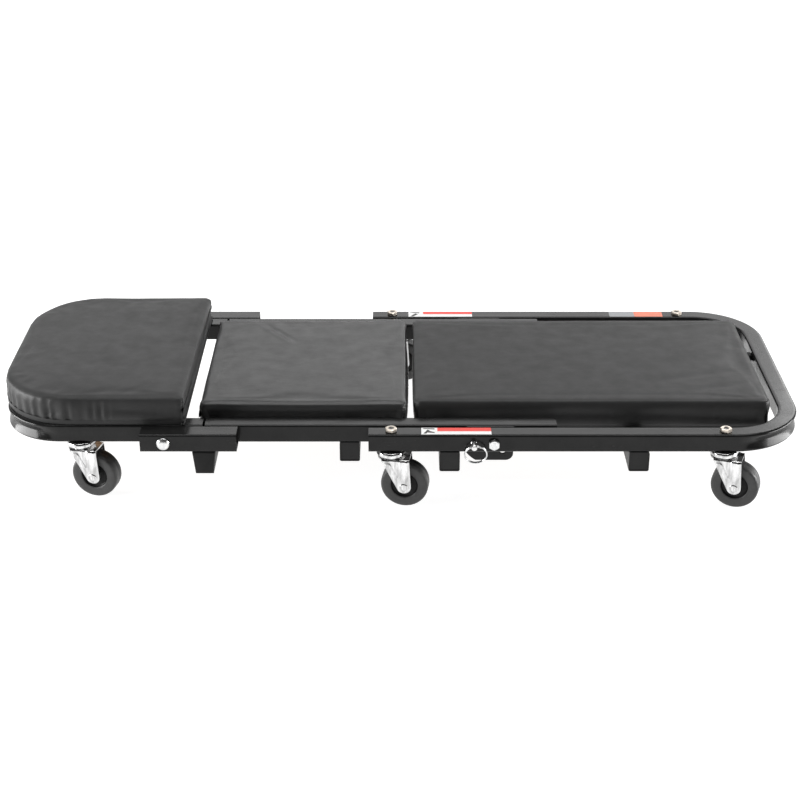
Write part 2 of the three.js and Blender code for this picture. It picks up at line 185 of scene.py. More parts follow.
def plate(lower, upper):
    """A plate between two outlines that have the same number of points."""
    count = len(lower)
    faces = [tuple(range(count)), tuple(range(2 * count - 1, count - 1, -1))]
    faces += [(i, i + count, (i + 1) % count + count, (i + 1) % count) for i in range(count)]
    return Shape(lower + upper, faces)


def lathe(profile, segments, lobes=None):
    """A profile of (radius, height) turned about Z; lobes(radius, angle) changes a radius."""
    shape = Shape()
    rings = []
    for radius, height in profile:
        ring = []
        count = 1 if radius < 1e-6 else segments
        for i in range(count):
            angle = 2 * math.pi * i / segments
            reach = lobes(radius, angle) if lobes else radius
            ring.append(len(shape.points))
            shape.points.append(Vector((reach * math.cos(angle), reach * math.sin(angle), height)))
        rings.append(ring)
    for low, high in zip(rings, rings[1:]):
        for i in range(segments):
            face = [low[i % len(low)], low[(i + 1) % len(low)]]
            face += [high[(i + 1) % len(high)], high[i % len(high)]]
            face = list(dict.fromkeys(face))
            if len(face) > 2:
                shape.faces.append(tuple(face))
                shape.tags.append(0)
    return shape


def prism(outline, thickness):
    """An outline in X and Z made into a plate, centred on Y = 0."""
    half = thickness / 2
    return plate([(x, -half, z) for x, z in outline], [(x, half, z) for x, z in outline])


def block(low, high):
    corners = list(product(*zip(low, high)))
    faces = [(0, 1, 3, 2), (4, 6, 7, 5), (0, 4, 5, 1), (2, 3, 7, 6), (0, 2, 6, 4), (1, 5, 7, 3)]
    return Shape(corners, faces)


def rounded_rectangle(width, height, corner, corner_steps=5, side_steps=1):
    """Points (across, up) round a rectangle, with extra points along its straight sides."""
    x, y = width / 2 - corner, height / 2 - corner
    outline = []
    for quarter, (cx, cy) in enumerate([(x, y), (-x, y), (-x, -y), (x, -y)]):
        corner_points = arc((cx, cy), corner, 90 * quarter, 90 * quarter + 90, corner_steps)
        if outline:
            outline += between(outline[-1], corner_points[0], side_steps)
        outline += corner_points
    return outline + between(outline[-1], outline[0], side_steps)


def between(a, b, steps):
    """Points strictly between two points."""
    return [tuple(a[k] + (b[k] - a[k]) * i / steps for k in (0, 1)) for i in range(1, steps)]


def tube(stations, width, height, corner, wall):
    """A hollow tube along stations of (point, outward, dent). Its cut ends have tag 1."""
    shape = Shape()
    flat = height / 2 - corner
    for inset in (0, wall):
        section = rounded_rectangle(
            width - 2 * inset, height - 2 * inset, max(corner - inset, 0.8), side_steps=12,
        )
        for point, outward, dent in stations:
            for across, up in section:
                if across > width / 2 - inset - 1e-6 and abs(up) < flat:
                    across -= dent * (1 - abs(up / flat) ** DENT_POWER)
                shape.points.append(Vector(point) + across * Vector(outward) + Vector((0, 0, up)))
    columns = len(section)
    rows = len(stations)
    for layer in (0, 1):
        shape.faces += grid_faces(rows, columns, layer * rows * columns, wrap=True)
    shape.tags = [0] * len(shape.faces)
    for row in (0, rows - 1):
        outer = row * columns
        inner = outer + rows * columns
        for i in range(columns):
            following = (i + 1) % columns
            shape.faces.append((outer + i, outer + following, inner + following, inner + i))
            shape.tags.append(1)
    return shape


def straight(start, end, outward):
    return [(Vector(start), outward, 0), (Vector(end), outward, 0)]


def u_stations(open_x, end_x, y, radius, steps=28):
    """Stations round a flat U, from the right leg's open end to the left leg's."""
    out = 1 if end_x > open_x else -1
    bend_x = end_x - out * (TUBE / 2 + radius)
    stations = [((open_x, -y, RAIL_Z), (0, -1, 0), 0)]
    for side, shares in ((-1, range(steps + 1)), (1, range(steps, -1, -1))):
        for share in (i / steps for i in shares):
            angle = share * math.pi / 2
            outward = (out * math.sin(angle), side * math.cos(angle), 0)
            point = (
                bend_x + out * radius * math.sin(angle),
                side * (y - radius + radius * math.cos(angle)),
                RAIL_Z,
            )
            stations.append((point, outward, BEND_DENT * min(1, 6 * share * (1 - share))))
    stations.append(((open_x, y, RAIL_Z), (0, 1, 0), 0))
    return stations


def hexagon(across_flats, height, hole=0.0, washer=0.0):
    """A chamfered hexagon standing on Z = 0, with a threaded hole or a solid top."""
    segments = 48
    flat = across_flats / 2
    crown = 0.94 * flat

    def hex_radius(angle):
        return flat / math.cos((angle + math.pi / 6) % (math.pi / 3) - math.pi / 6)

    rings = []
    if hole:
        rings.append(lambda a: (hole, 0))
    rings.append(lambda a: (crown, 0))
    if washer:
        rings.append(lambda a: (crown, washer))
    rings.append(lambda a: (hex_radius(a), washer + 0.5 * (hex_radius(a) - crown)))
    rings.append(lambda a: (hex_radius(a), height - 0.58 * (hex_radius(a) - crown)))
    rings.append(lambda a: (crown, height))
    if hole:
        rings.append(lambda a: (hole + 0.6, height))
        rings.append(lambda a: (hole, height - 0.6))
    points = []
    for ring in rings:
        for i in range(segments):
            angle = 2 * math.pi * i / segments
            radius, z = ring(angle)
            points.append(Vector((radius * math.cos(angle), radius * math.sin(angle), z)))
    if not hole:
        return capped_rows(points, len(rings), segments)
    last = (len(rings) - 1) * segments
    thread = [(last + i, last + (i + 1) % segments, (i + 1) % segments, i) for i in range(segments)]
    return Shape(points, grid_faces(len(rings), segments, wrap=True) + thread)


def bumpy_rod(start, end, radius, seed):
    """A weld bead: a short rod whose radius changes in even ripples."""
    start, end = Vector(start), Vector(end)
    along = (end - start).normalized()
    across = along.cross(Vector((0, 0, 1)))
    steps = max(8, int((end - start).length / 0.8))
    around = 8
    points = []
    for i in range(steps + 1):
        share = i / steps
        reach = radius * min(1, 5 * share + 0.25, 5 * (1 - share) + 0.25)
        reach *= 1 + 0.12 * math.sin(i * 1.9 + seed) + 0.12 * noise.noise((i * 0.3, seed, 0))
        for j in range(around):
            angle = 2 * math.pi * j / around
            offset = math.cos(angle) * across + math.sin(angle) * Vector((0, 0, 1))
            points.append(start.lerp(end, share) + reach * offset)
    return capped_rows(points, steps + 1, around)


# ---- Meshes and pieces ----

def mesh_of(name, shape, materials, sharp=35, bevel=0.0, holes=None):
    """A smooth-shaded Blender mesh in metres, with edges over the sharp angle kept crisp."""
    mesh = bpy.data.meshes.new(name)
    mesh.from_pydata([p * MM for p in shape.points], [], shape.faces)
    for material in materials:
        mesh.materials.append(material)
    mesh.polygons.foreach_set("material_index", shape.tags)
    face_outwards(mesh)
    if holes:
        mesh = drilled(mesh, holes)
    if bevel:
        round_edges(mesh, bevel)
    mesh.polygons.foreach_set("use_smooth", [True] * len(mesh.polygons))
    mesh.set_sharp_from_angle(angle=math.radians(sharp))
    return mesh


def face_outwards(mesh):
    work = bmesh.new()
    work.from_mesh(mesh)
    bmesh.ops.recalc_face_normals(work, faces=work.faces)
    work.to_mesh(mesh)
    work.free()


def round_edges(mesh, width):
    work = bmesh.new()
    work.from_mesh(mesh)
    edges = [e for e in work.edges if len(e.link_faces) == 2 and e.calc_face_angle() > math.radians(40)]
    bmesh.ops.bevel(
        work, geom=edges, offset=width * MM, offset_type="OFFSET", segments=3,
        profile=0.5, affect="EDGES", clamp_overlap=True,
    )
    work.to_mesh(mesh)
    work.free()


def drilled(mesh, holes):
    """The mesh with a shape cut away from it."""
    cutter_mesh = bpy.data.meshes.new("cutter")
    cutter_mesh.from_pydata([p * MM for p in holes.points], [], holes.faces)
    face_outwards(cutter_mesh)
    cutter = new_object("cutter", cutter_mesh)
    result = modified(mesh, "BOOLEAN", operation="DIFFERENCE", solver="EXACT", object=cutter)
    bpy.data.objects.remove(cutter)
    return result


def new_object(name, data):
    obj = bpy.data.objects.new(name, data)
    bpy.context.scene.collection.objects.link(obj)
    return obj


def modified(mesh, kind, **settings):
    """The mesh as one modifier leaves it."""
    obj = new_object("modified", mesh)
    modifier = obj.modifiers.new("modifier", kind)
    for key, value in settings.items():
        setattr(modifier, key, value)
    result = evaluated_mesh(obj)
    bpy.data.objects.remove(obj)
    return result


def evaluated_mesh(obj):
    graph = bpy.context.evaluated_depsgraph_get()
    return bpy.data.meshes.new_from_object(obj.evaluated_get(graph))


def put(name, mesh, nodes=(), body=None, place=None):
    """Shows a mesh as a piece that rides on a body and stands for the CAD nodes."""
    obj = new_object(name, mesh)
    if place is not None:
        obj.matrix_world = in_metres(place)
    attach(obj, body or BODY_OF[nodes[0]])
    if nodes:
        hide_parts(*nodes)
    return obj


def show(name, shape, materials, slot, nodes=(), body=None, place=None, **finish):
    """Shows a shape as a piece; the finish is passed on to mesh_of."""
    put(name, mesh_of(name, shape, materials, **finish), nodes, body, place)


def rod(radius, length, segments=32):
    """A rod along Y, centred on the origin."""
    half = length / 2
    profile = [(0, -half), (radius, -half), (radius, half), (0, half)]
    return lathe(profile, segments).moved(turn(math.pi / 2, "X"))


# ---- Materials ----

class Surface:
    """A procedural material on the Principled shader; textures follow the piece in metres."""

    def __init__(self, name, **values):
        self.material = bpy.data.materials.new(name)
        self.material.use_nodes = True
        self.tree = self.material.node_tree
        self.shader = self.tree.nodes["Principled BSDF"]
        for key, value in values.items():
            self.shader.inputs[key.replace("_", " ")].default_value = value
        self.place = self.node("ShaderNodeTexCoord").outputs["Object"]

    def node(self, kind, **settings):
        made = self.tree.nodes.new(kind)
        for key, value in settings.items():
            setattr(made, key, value)
        return made

    def link(self, output, target):
        self.tree.links.new(output, target)

    def stretched(self, scale):
        mapping = self.node("ShaderNodeMapping")
        mapping.inputs["Scale"].default_value = scale
        self.link(self.place, mapping.inputs["Vector"])
        return mapping.outputs["Vector"]

    def noise(self, scale, detail=3.0, roughness=0.55, place=None, distortion=0.0):
        texture = self.node("ShaderNodeTexNoise")
        texture.inputs["Scale"].default_value = scale
        texture.inputs["Detail"].default_value = detail
        texture.inputs["Roughness"].default_value = roughness
        texture.inputs["Distortion"].default_value = distortion
        self.link(place or self.place, texture.inputs["Vector"])
        return texture.outputs["Fac"]

    def cells(self, scale, feature="F1", smoothness=0.4):
        texture = self.node("ShaderNodeTexVoronoi", feature=feature)
        texture.inputs["Scale"].default_value = scale
        if feature == "SMOOTH_F1":
            texture.inputs["Smoothness"].default_value = smoothness
        self.link(self.place, texture.inputs["Vector"])
        return texture.outputs["Distance"]

    def ranged(self, value, low, high, from_low=0.3, from_high=0.7):
        remap = self.node("ShaderNodeMapRange")
        ends = {"From Min": from_low, "From Max": from_high, "To Min": low, "To Max": high}
        for key, number in ends.items():
            remap.inputs[key].default_value = number
        self.link(value, remap.inputs["Value"])
        return remap.outputs["Result"]

    def ramp(self, value, *stops):
        ramp = self.node("ShaderNodeValToRGB")
        elements = ramp.color_ramp.elements
        while len(elements) < len(stops):
            elements.new(0.5)
        for element, (position, color) in zip(elements, stops):
            element.position = position
            element.color = (*color, 1)
        self.link(value, ramp.inputs["Fac"])
        return ramp.outputs["Color"]

    def color(self, output):
        self.link(output, self.shader.inputs["Base Color"])

    def roughness(self, output):
        self.link(output, self.shader.inputs["Roughness"])

    def bump(self, *layers):
        """Layers of (height, strength, distance in millimetres), each on top of the last."""
        normal = None
        for height, strength, distance in layers:
            bump = self.node("ShaderNodeBump")
            bump.inputs["Strength"].default_value = strength
            bump.inputs["Distance"].default_value = distance * MM
            self.link(height, bump.inputs["Height"])
            if normal:
                self.link(normal, bump.inputs["Normal"])
            normal = bump.outputs["Normal"]
        self.link(normal, self.shader.inputs["Normal"])


def grey(value, warmth=0.0):
    return (value * (1 + warmth), value, value * (1 - warmth))


def powder_coat_material(name, dark, light, gloss):
    """Baked powder paint: a fine orange peel, with faint dust and handling marks."""
    surface = Surface(name, Specular_IOR_Level=0.16, Coat_Weight=0.12, Coat_Roughness=0.08)
    dust = surface.noise(34, 5, 0.6)
    surface.color(surface.ramp(dust, (0.35, grey(dark)), (0.75, grey(light, 0.01))))
    scuffs = surface.noise(60, 4, 0.6, surface.stretched((0.25, 1, 1)))
    surface.roughness(surface.ranged(scuffs, gloss - 0.05, gloss + 0.09))
    peel = surface.noise(620, 2, 0.5)
    surface.bump((peel, 0.16, 0.12), (surface.noise(75, 2), 0.12, 0.3))
    return surface.material


def leatherette_material(name, shade, shine, gloss):
    """Embossed vinyl: pebbled grain, soft creasing and a slight sheen."""
    surface = Surface(name, Specular_IOR_Level=shine, Sheen_Weight=0.03, Sheen_Roughness=0.4)
    mottle = surface.noise(16, 4, 0.55)
    surface.color(surface.ramp(mottle, (0.3, grey(shade)), (0.7, grey(1.33 * shade))))
    surface.roughness(surface.ranged(surface.noise(42, 4, 0.6), gloss - 0.04, gloss + 0.08))
    pebbles = surface.cells(760, "SMOOTH_F1", 0.6)
    creases = surface.cells(310, "DISTANCE_TO_EDGE")
    pores = surface.noise(1900, 2, 0.5)
    soft = surface.noise(24, 3, 0.5, surface.stretched((0.6, 1, 1)), 0.6)
    surface.bump(
        (soft, 0.35, 1.4),
        (surface.ranged(creases, 0, 1, 0.0, 0.12), 0.10, 0.12),
        (pebbles, 0.22, 0.16),
        (pores, 0.08, 0.06),
    )
    return surface.material


def plywood_material():
    """Rotary-cut veneer: long grain, a few darker bands and pores."""
    surface = Surface("plywood", Roughness=0.75, Specular_IOR_Level=0.25)
    grain = surface.noise(60, 6, 0.62, surface.stretched((0.06, 1, 1)), 0.8)
    surface.color(surface.ramp(
        grain, (0.28, (0.13, 0.075, 0.04)), (0.5, (0.22, 0.135, 0.075)), (0.72, (0.31, 0.20, 0.115)),
    ))
    surface.roughness(surface.ranged(grain, 0.66, 0.84))
    pores = surface.noise(900, 3, 0.6, surface.stretched((0.08, 1, 1)))
    surface.bump((grain, 0.25, 0.4), (pores, 0.3, 0.15))
    return surface.material


def metal_material(name, dark, light, gloss, ripple=0.1):
    """Plated steel: changes of tint and polish in upright streaks, with a faint waviness; on chrome the wide dark
    and light streaks of colour are painted reflections.
    """
    surface = Surface(name, Metallic=1.0)
    tint_and_painted_streaks = surface.noise(170, 4, 0.6, surface.stretched((1, 1, 0.22)))
    surface.color(surface.ramp(tint_and_painted_streaks, (0.34, dark), (0.64, light)))
    marks = surface.noise(260, 4, 0.7, surface.stretched((1, 1, 0.2)))
    surface.roughness(surface.ranged(marks, gloss - 0.04, gloss + 0.10))
    surface.bump((surface.noise(120, 2), ripple, 0.2), (surface.noise(900, 2), 0.05, 0.05))
    return surface.material


def wheel_material():
    """Moulded hard rubber with a bloom of dust on its tread."""
    surface = Surface("wheel_rubber", Specular_IOR_Level=0.4)
    bloom = surface.noise(120, 5, 0.65)
    surface.color(surface.ramp(bloom, (0.3, grey(0.034)), (0.72, grey(0.052, 0.01))))
    surface.roughness(surface.ranged(bloom, 0.38, 0.56))
    surface.bump((surface.noise(1400, 3, 0.6), 0.18, 0.08), (surface.noise(180, 3), 0.15, 0.2))
    return surface.material


def print_material(name, color, gloss=0.35):
    """Printed vinyl film with slightly uneven ink."""
    surface = Surface(name, Specular_IOR_Level=0.4)
    ink = surface.noise(240, 4, 0.7)
    surface.color(surface.ramp(ink, (0.3, tuple(0.86 * c for c in color)), (0.7, color)))
    surface.roughness(surface.ranged(ink, gloss, gloss + 0.12))
    surface.bump((surface.noise(500, 2), 0.05, 0.05))
    return surface.material


POWDER = powder_coat_material("powder_coat", 0.009, 0.015, 0.20)
# The tubes' cut ends are a lighter grey than the tube: a painted highlight along the end edges.
CUT_END_HIGHLIGHT = powder_coat_material("cut_tube_end_painted_highlight", 0.030, 0.045, 0.34)
CROSS_PAINT = powder_coat_material("cross_member_paint", 0.014, 0.020, 0.48)
# Black rubber for the bumper and the plugs; also the dark fill that paints shade into the pads' fold grooves and
# the wheels' recessed webs.
RUBBER_AND_SHADE = powder_coat_material("black_rubber_and_painted_shade", 0.006, 0.012, 0.62)
LEATHERS = {
    "head": leatherette_material("leatherette_head", 0.025, 0.20, 0.46),
    "middle": leatherette_material("leatherette_middle", 0.025, 0.38, 0.38),
    "leg": leatherette_material("leatherette_leg", 0.024, 0.19, 0.48),
}
PLYWOOD = plywood_material()
# Chrome's colour runs from dark to light grey in upright streaks: painted reflections.
CHROME_PAINTED_REFLECTIONS = metal_material("chrome", grey(0.42), grey(0.82), 0.15, 0.2)
NICKEL = metal_material("nickel", (0.50, 0.45, 0.39), (0.66, 0.60, 0.53), 0.30)
ZINC = metal_material("zinc", (0.62, 0.63, 0.64), (0.80, 0.80, 0.79), 0.26, 0.2)
DARK_STEEL = metal_material("oiled_thread", grey(0.10), grey(0.18), 0.42)
WHEEL = wheel_material()
PRINT_WHITE = print_material("print_white", (0.86, 0.86, 0.85))
PRINT_RED = print_material("print_red", (0.80, 0.055, 0.040))
PRINT_ORANGE = print_material("print_orange", (0.80, 0.22, 0.13))
PRINT_GREY = print_material("print_grey", (0.30, 0.31, 0.32))
PRINT_BLACK = print_material("print_black", (0.012, 0.012, 0.012))


# ---- Frames and rails ----

def make_frames():
    """The two bent tubes; one bore through both legs of the leg frame takes the lock pins."""
    # The lighter second paint on the cut ends is a painted highlight.
    paint = [POWDER, CUT_END_HIGHLIGHT]
    stations = u_stations(BASE_LOW.x, BASE_HIGH.x, BASE_Y, LEG_BEND)
    leg = tube(stations, TUBE, TUBE, TUBE_CORNER, TUBE_WALL)
    bore = rod(PIN_HOLE, 3 * BASE_Y).moved(shift(PIN_X, 0, RAIL_Z))
    show("leg_frame", leg, paint, "powder_coat", ["base_frame"], holes=bore)
    stations = u_stations(HEAD_HIGH.x, HEAD_LOW.x, INNER_Y, HEAD_BEND)
    head = tube(stations, TUBE, TUBE, TUBE_CORNER, TUBE_WALL)
    show("headrest_frame", head, paint, "powder_coat", ["head_frame"])


def make_straight_rails():
    for side, sign in SIDES.items():
        nodes = {"inner_rail": f"middle_rail_{side}", "channel": f"hinge_channel_{side}"}
        for name, node in nodes.items():
            low, high = box(node)
            y = (low.y + high.y) / 2
            path = straight((low.x, y, RAIL_Z), (high.x, y, RAIL_Z), (0, sign, 0))
            shape = tube(path, high.y - low.y, high.z - low.z, 2.6, TUBE_WALL)
            # The lighter second paint on the cut ends is a painted highlight.
            show(f"{name}_{side}", shape, [POWDER, CUT_END_HIGHLIGHT], "powder_coat", [node])


def boxed_cross_member(low, high):
    """A rounded box section with a plate set into each end."""
    centre = (low + high) / 2
    path = straight((centre.x, low.y, centre.z), (centre.x, high.y, centre.z), (1, 0, 0))
    shape = tube(path, high.x - low.x, high.z - low.z, 2.5, TUBE_WALL)
    plug = rounded_rectangle(high.x - low.x - 2.4, high.z - low.z - 2.4, 1.6)
    for y in (low.y + 1.4, high.y - 1.4):
        shape.add(prism(plug, 1.2).moved(shift(centre.x, y, centre.z)))
    return shape


def tapered_cross_member(low, high):
    """A section that narrows downwards, closed by a plug with a thin flange."""
    centre = (low + high) / 2
    top, bottom, height = high.x - low.x, 24, high.z - low.z

    def outline(inset):
        return [
            (-top / 2 + inset, height / 2 - inset), (-bottom / 2 + inset, -height / 2 + inset),
            (bottom / 2 - inset, -height / 2 + inset), (top / 2 - inset, height / 2 - inset),
        ]

    flange = 1.4
    shape = prism(outline(0), high.y - low.y - 2 * flange)
    for end in (-1, 1):
        y = end * ((high.y - low.y) / 2 - flange / 2)
        shape.add(prism(outline(0.7), flange).moved(shift(0, y, 0)).tagged(1))
    return shape.moved(shift(*centre))


def make_cross_members():
    for node in ("base_cross_fold", "base_cross_foot", "middle_cross_mid"):
        paint = [CROSS_PAINT, CROSS_PAINT]
        show(f"{node}_tube", boxed_cross_member(*box(node)), paint, "pressed_steel", [node])
    node = "middle_cross_head"
    shape = tapered_cross_member(*box(node))
    show(f"{node}_tube", shape, [CROSS_PAINT, RUBBER_AND_SHADE], "pressed_steel", [node], bevel=0.9)


def make_welds():
    """Beads along the edges where the rails sit on the cross members."""
    joints = {
        "base_cross_fold": BASE_Y, "base_cross_foot": BASE_Y,
        "middle_cross_mid": INNER_Y, "middle_cross_head": INNER_Y,
    }
    radius = 1.9
    for node, rail_y in joints.items():
        low, high = box(node)
        beads = Shape()
        seed = 0
        for sign, edge in product(SIDES.values(), (-1, 1)):
            y = sign * (rail_y + edge * (TUBE / 2 - 0.6))
            if abs(y) > high.y - 1:
                continue
            seed += 1
            start, end = (low.x + 3, y, RAIL_BOTTOM - 0.4), (high.x - 3, y, RAIL_BOTTOM - 0.4)
            beads.add(bumpy_rod(start, end, radius, seed))
        body = BODY_OF[node]
        show(f"{node}_welds", beads, [CROSS_PAINT], "pressed_steel", body=body, sharp=60)


def make_bumper():
    """A rubber stop on the inner face of the frame's foot end."""
    half = Vector((6, 14, 10)) / 2
    y, z = 64, 95
    centre = Vector((BASE_HIGH.x - TUBE - half.x, y, z))
    shape = block(centre - half, centre + half)
    show("bumper", shape, [RUBBER_AND_SHADE], "powder_coat", body="base", bevel=2.2)


# ---- Lock hardware, hinges and bolts ----

def lock_plate_outline(low, high):
    """Round the pivot: square at the top, swept at the lower left and rounded at the lower right."""
    sweep, corner = 44, 10
    left, right, top, bottom = low.x - PIVOT.x, high.x - PIVOT.x, high.z - PIVOT.z, low.z - PIVOT.z
    start = math.degrees(math.atan2(-math.sqrt(sweep ** 2 - left ** 2), left))
    end = math.degrees(math.atan2(bottom, -math.sqrt(sweep ** 2 - bottom ** 2)))
    return (
        [(right, top), (left, top)]
        + arc((0, 0), sweep, start, end, 12)
        + arc((right - corner, bottom + corner), corner, -90, 0, 10)
    )


def make_lock_plates():
    for side in SIDES:
        node = f"lock_plate_{side}"
        low, high = box(node)
        holes = Shape()
        for angle in (math.pi, math.pi + FOLD_ANGLE):
            centre = shift(LOCK_RADIUS * math.cos(angle), 0, LOCK_RADIUS * math.sin(angle))
            holes.add(rod(PIN_HOLE, 20).moved(centre))
        show(
            f"lock_bracket_{side}", prism(lock_plate_outline(low, high), high.y - low.y),
            [POWDER], "powder_coat", [node], bevel=0.5, holes=holes,
            place=shift(PIVOT.x, (low.y + high.y) / 2, PIVOT.z),
        )


def lock_pin_shape(length, radius):
    """A turned pin along +Y: chamfered tip, shank, a groove and a rounded head."""
    return lathe([
        (0, 0), (radius - 1.2, 0), (radius, 1.6), (radius, length - 13.5),
        (radius - 0.5, length - 13.0), (radius - 0.5, length - 12.2), (radius, length - 11.7),
        (radius, length - 1.6), (radius - 0.5, length - 0.5), (radius - 1.5, length), (0, length),
    ], 40).moved(turn(-math.pi / 2, "X"))


def split_ring_shape(radius, wire):
    """Two turns of round wire lying side by side, about the Y axis."""
    steps, around, lay = 150, 10, 0.95 * wire
    points = []
    for i in range(steps + 1):
        share = i / steps
        angle = 4 * math.pi * share + 0.9
        crossing = min(1, max(0, (share - 0.45) / 0.1))
        centre = Vector((radius * math.cos(angle), lay * (2 * crossing - 1), radius * math.sin(angle)))
        outward = Vector((math.cos(angle), 0, math.sin(angle)))
        for j in range(around):
            turned = 2 * math.pi * j / around
            offset = math.cos(turned) * outward + math.sin(turned) * Vector((0, 1, 0))
            points.append(centre + wire * offset)
    return capped_rows(points, steps + 1, around)


def make_pins_and_rings():
    ring_radius, wire = 14.5, 0.9
    lean, slew = math.radians(15), math.radians(10)
    for side, sign in SIDES.items():
        low, high = box(f"lock_pin_{side}")
        facing = 0 if sign > 0 else math.pi
        swing = joint_point(f"pin_ring_{side}_swing")
        tip_y = low.y if sign > 0 else high.y
        ring_hole = rod(2.2, 20).moved(turn(math.pi / 2, "Z", 0, abs(swing.y - tip_y), 0))
        pin = lock_pin_shape(high.y - low.y, (high.z - low.z) / 2)
        show(
            f"pull_pin_{side}", pin, [ZINC], "zinc", [f"lock_pin_{side}"], holes=ring_hole,
            place=turn(facing, "Z", PIN_X, tip_y, RAIL_Z),
        )
        hung = Matrix.Rotation(-slew, 4, "Y") @ shift(0, 0, -ring_radius + wire / 3)
        show(
            f"split_ring_{side}", split_ring_shape(ring_radius, wire).moved(hung),
            [ZINC], "zinc", [f"pin_ring_{side}"], sharp=60,
            place=turn(-sign * lean, "X", *swing),
        )


def bolt_shape(head, shank_radius, shank_length):
    """A head standing on Z = 0 with its shank below; the whole is turned to point along +Y."""
    shank = lathe([
        (0, -shank_length), (shank_radius - 0.8, -shank_length), (shank_radius, -shank_length + 0.8),
        (shank_radius, 0.2), (0, 0.2),
    ], 24)
    return head.add(shank).moved(turn(-math.pi / 2, "X"))


def make_bolts():
    """Hexagon heads with a raised disc at the pivots, domed heads at the hinges, nuts inside."""
    across_flats, hex_height, dome_height, shank_radius = 13, 5.3, 4.5, 4
    disc = [(0, 5.25), (3.4, 5.25), (3.2, 5.45), (0, 5.45)]
    dome = [
        (0, 0), (8.1, 0), (8.5, 0.5), (8.5, 1.2), (7.9, 2.3), (6.2, 3.5), (3.4, 4.3),
        (0, dome_height),
    ]
    for side, sign in SIDES.items():
        facing = 0 if sign > 0 else math.pi
        hex_head = hexagon(across_flats, hex_height, washer=0.5).add(lathe(disc, 32))
        heads = {"pivot": (hex_head, hex_height), "hinge": (lathe(dome, 48), dome_height)}
        for joint, (head, height) in heads.items():
            low, high = box(f"{joint}_bolt_{side}")
            outer = (high.y - height) if sign > 0 else (low.y + height)
            centre = (low + high) / 2
            show(
                f"{joint}_screw_{side}", bolt_shape(head, shank_radius, high.y - low.y - height),
                [ZINC], "zinc", [f"{joint}_bolt_{side}"], sharp=28,
                place=turn(facing, "Z", centre.x, outer, centre.z),
            )
            low, high = box(f"{joint}_nut_{side}")
            nut = hexagon(across_flats, high.y - low.y, hole=shank_radius + 0.1)
            inner = high.y if sign > 0 else low.y
            show(
                f"{joint}_locknut_{side}", nut.moved(turn(math.pi / 2, "X")),
                [ZINC], "zinc", [f"{joint}_nut_{side}"], sharp=28,
                place=turn(facing, "Z", centre.x, inner, centre.z),
            )


# ---- Casters, made round the swivel axis with the wheel trailing along +X ----

CUP_BOTTOM = 74.2              # heights above the floor
CROWN_TOP = 71.4
FORK_SHEET = 2.2
FORK_HALF = 15.4               # outside of the side plates from the middle
FORK_END = 9.5                 # radius of the rounded lower end
FORK_TOP_FRONT = -12.5         # X of a side plate's edges, just under the crown
FORK_TOP_REAR = 26.0
FORK_SLOPE = math.radians(207)  # where the front edge meets the rounded end
CROWN_ROUND = 17.5             # radius of the crown's rounded front


def cup_shape():
    """Threaded stem, pressed cup with a faintly lobed rim, and the kingpin down to its rivet."""
    top = RAIL_BOTTOM - GAP

    def lobed(radius, angle):
        return radius + (0.35 * math.cos(8 * angle) if radius > 17.5 else 0)

    return lathe([
        (0, RAIL_TOP + 3.6), (1.6, RAIL_TOP + 3.6), (2.2, RAIL_TOP + 3.9),
        (3.4, RAIL_TOP + 3.9), (4, RAIL_TOP + 3.2), (4, top), (15.5, top),
        (17.2, top - 0.3), (18.2, top - 1.2), (18.6, top - 2.6),
        (18.9, CUP_BOTTOM + 1.6), (19.0, CUP_BOTTOM + 0.5), (18.5, CUP_BOTTOM),
        (17.6, CUP_BOTTOM + 0.3), (17.2, CUP_BOTTOM + 1.5), (14.5, CUP_BOTTOM + 2.4),
        (6, CUP_BOTTOM + 2.4),
        (6, 68.6), (9, 68.4), (8.6, 67.0), (6.0, 66.3), (0, 66.2),
    ], 72, lobed)


def smooth_step(value, low, high):
    share = min(1, max(0, (value - low) / (high - low)))
    return share * share * (3 - 2 * share)


def fork_edges(z):
    """Front and rear edge of a side plate at a height, down to the rounded end round the axle."""
    axle_z = WHEEL_RADIUS
    below = axle_z - z
    swept = TRAIL + FORK_END - FORK_TOP_REAR
    rear = FORK_TOP_REAR + swept * clamped_share(z, CROWN_TOP, axle_z)
    tangent_x = TRAIL + FORK_END * math.cos(FORK_SLOPE)
    tangent_z = axle_z + FORK_END * math.sin(FORK_SLOPE)
    if z > tangent_z:
        share = (CROWN_TOP - z) / (CROWN_TOP - tangent_z)
        front = FORK_TOP_FRONT + (tangent_x - FORK_TOP_FRONT) * share
    else:
        front = TRAIL - math.sqrt(max(0, FORK_END ** 2 - below ** 2))
    if below > 0:
        rear = TRAIL + math.sqrt(max(0, FORK_END ** 2 - below ** 2))
    return front, rear


def clamped_share(value, start, end):
    return min(1, max(0, (start - value) / (start - end)))


def fork_relief(x, z, front):
    """How far the pressed side plate stands out: a front flange, a rib and a dimple over the axle."""
    flange_height, flange_width = 1.3, 10
    rib_height, rib_half, rib_top = 1.2, 5.6, 66
    dimple_depth, dimple_up = 0.9, 9.0
    flange = smooth_step(x, front, front + 2)
    flange *= 1 - smooth_step(x, front + flange_width - 1.5, front + flange_width + 1.5)
    flange *= smooth_step(z, 36, 46) * (1 - smooth_step(z, 62, 69))
    from_rib = math.hypot(x - TRAIL + 1.2, z - min(rib_top, max(WHEEL_RADIUS, z)))
    rib = 1 - smooth_step(from_rib, rib_half - 1, rib_half + 1)
    from_dimple = (x - TRAIL) ** 2 + (z - WHEEL_RADIUS - dimple_up) ** 2
    dimple = math.exp(-from_dimple / 2.6)
    return flange_height * flange + rib_height * rib - dimple_depth * dimple


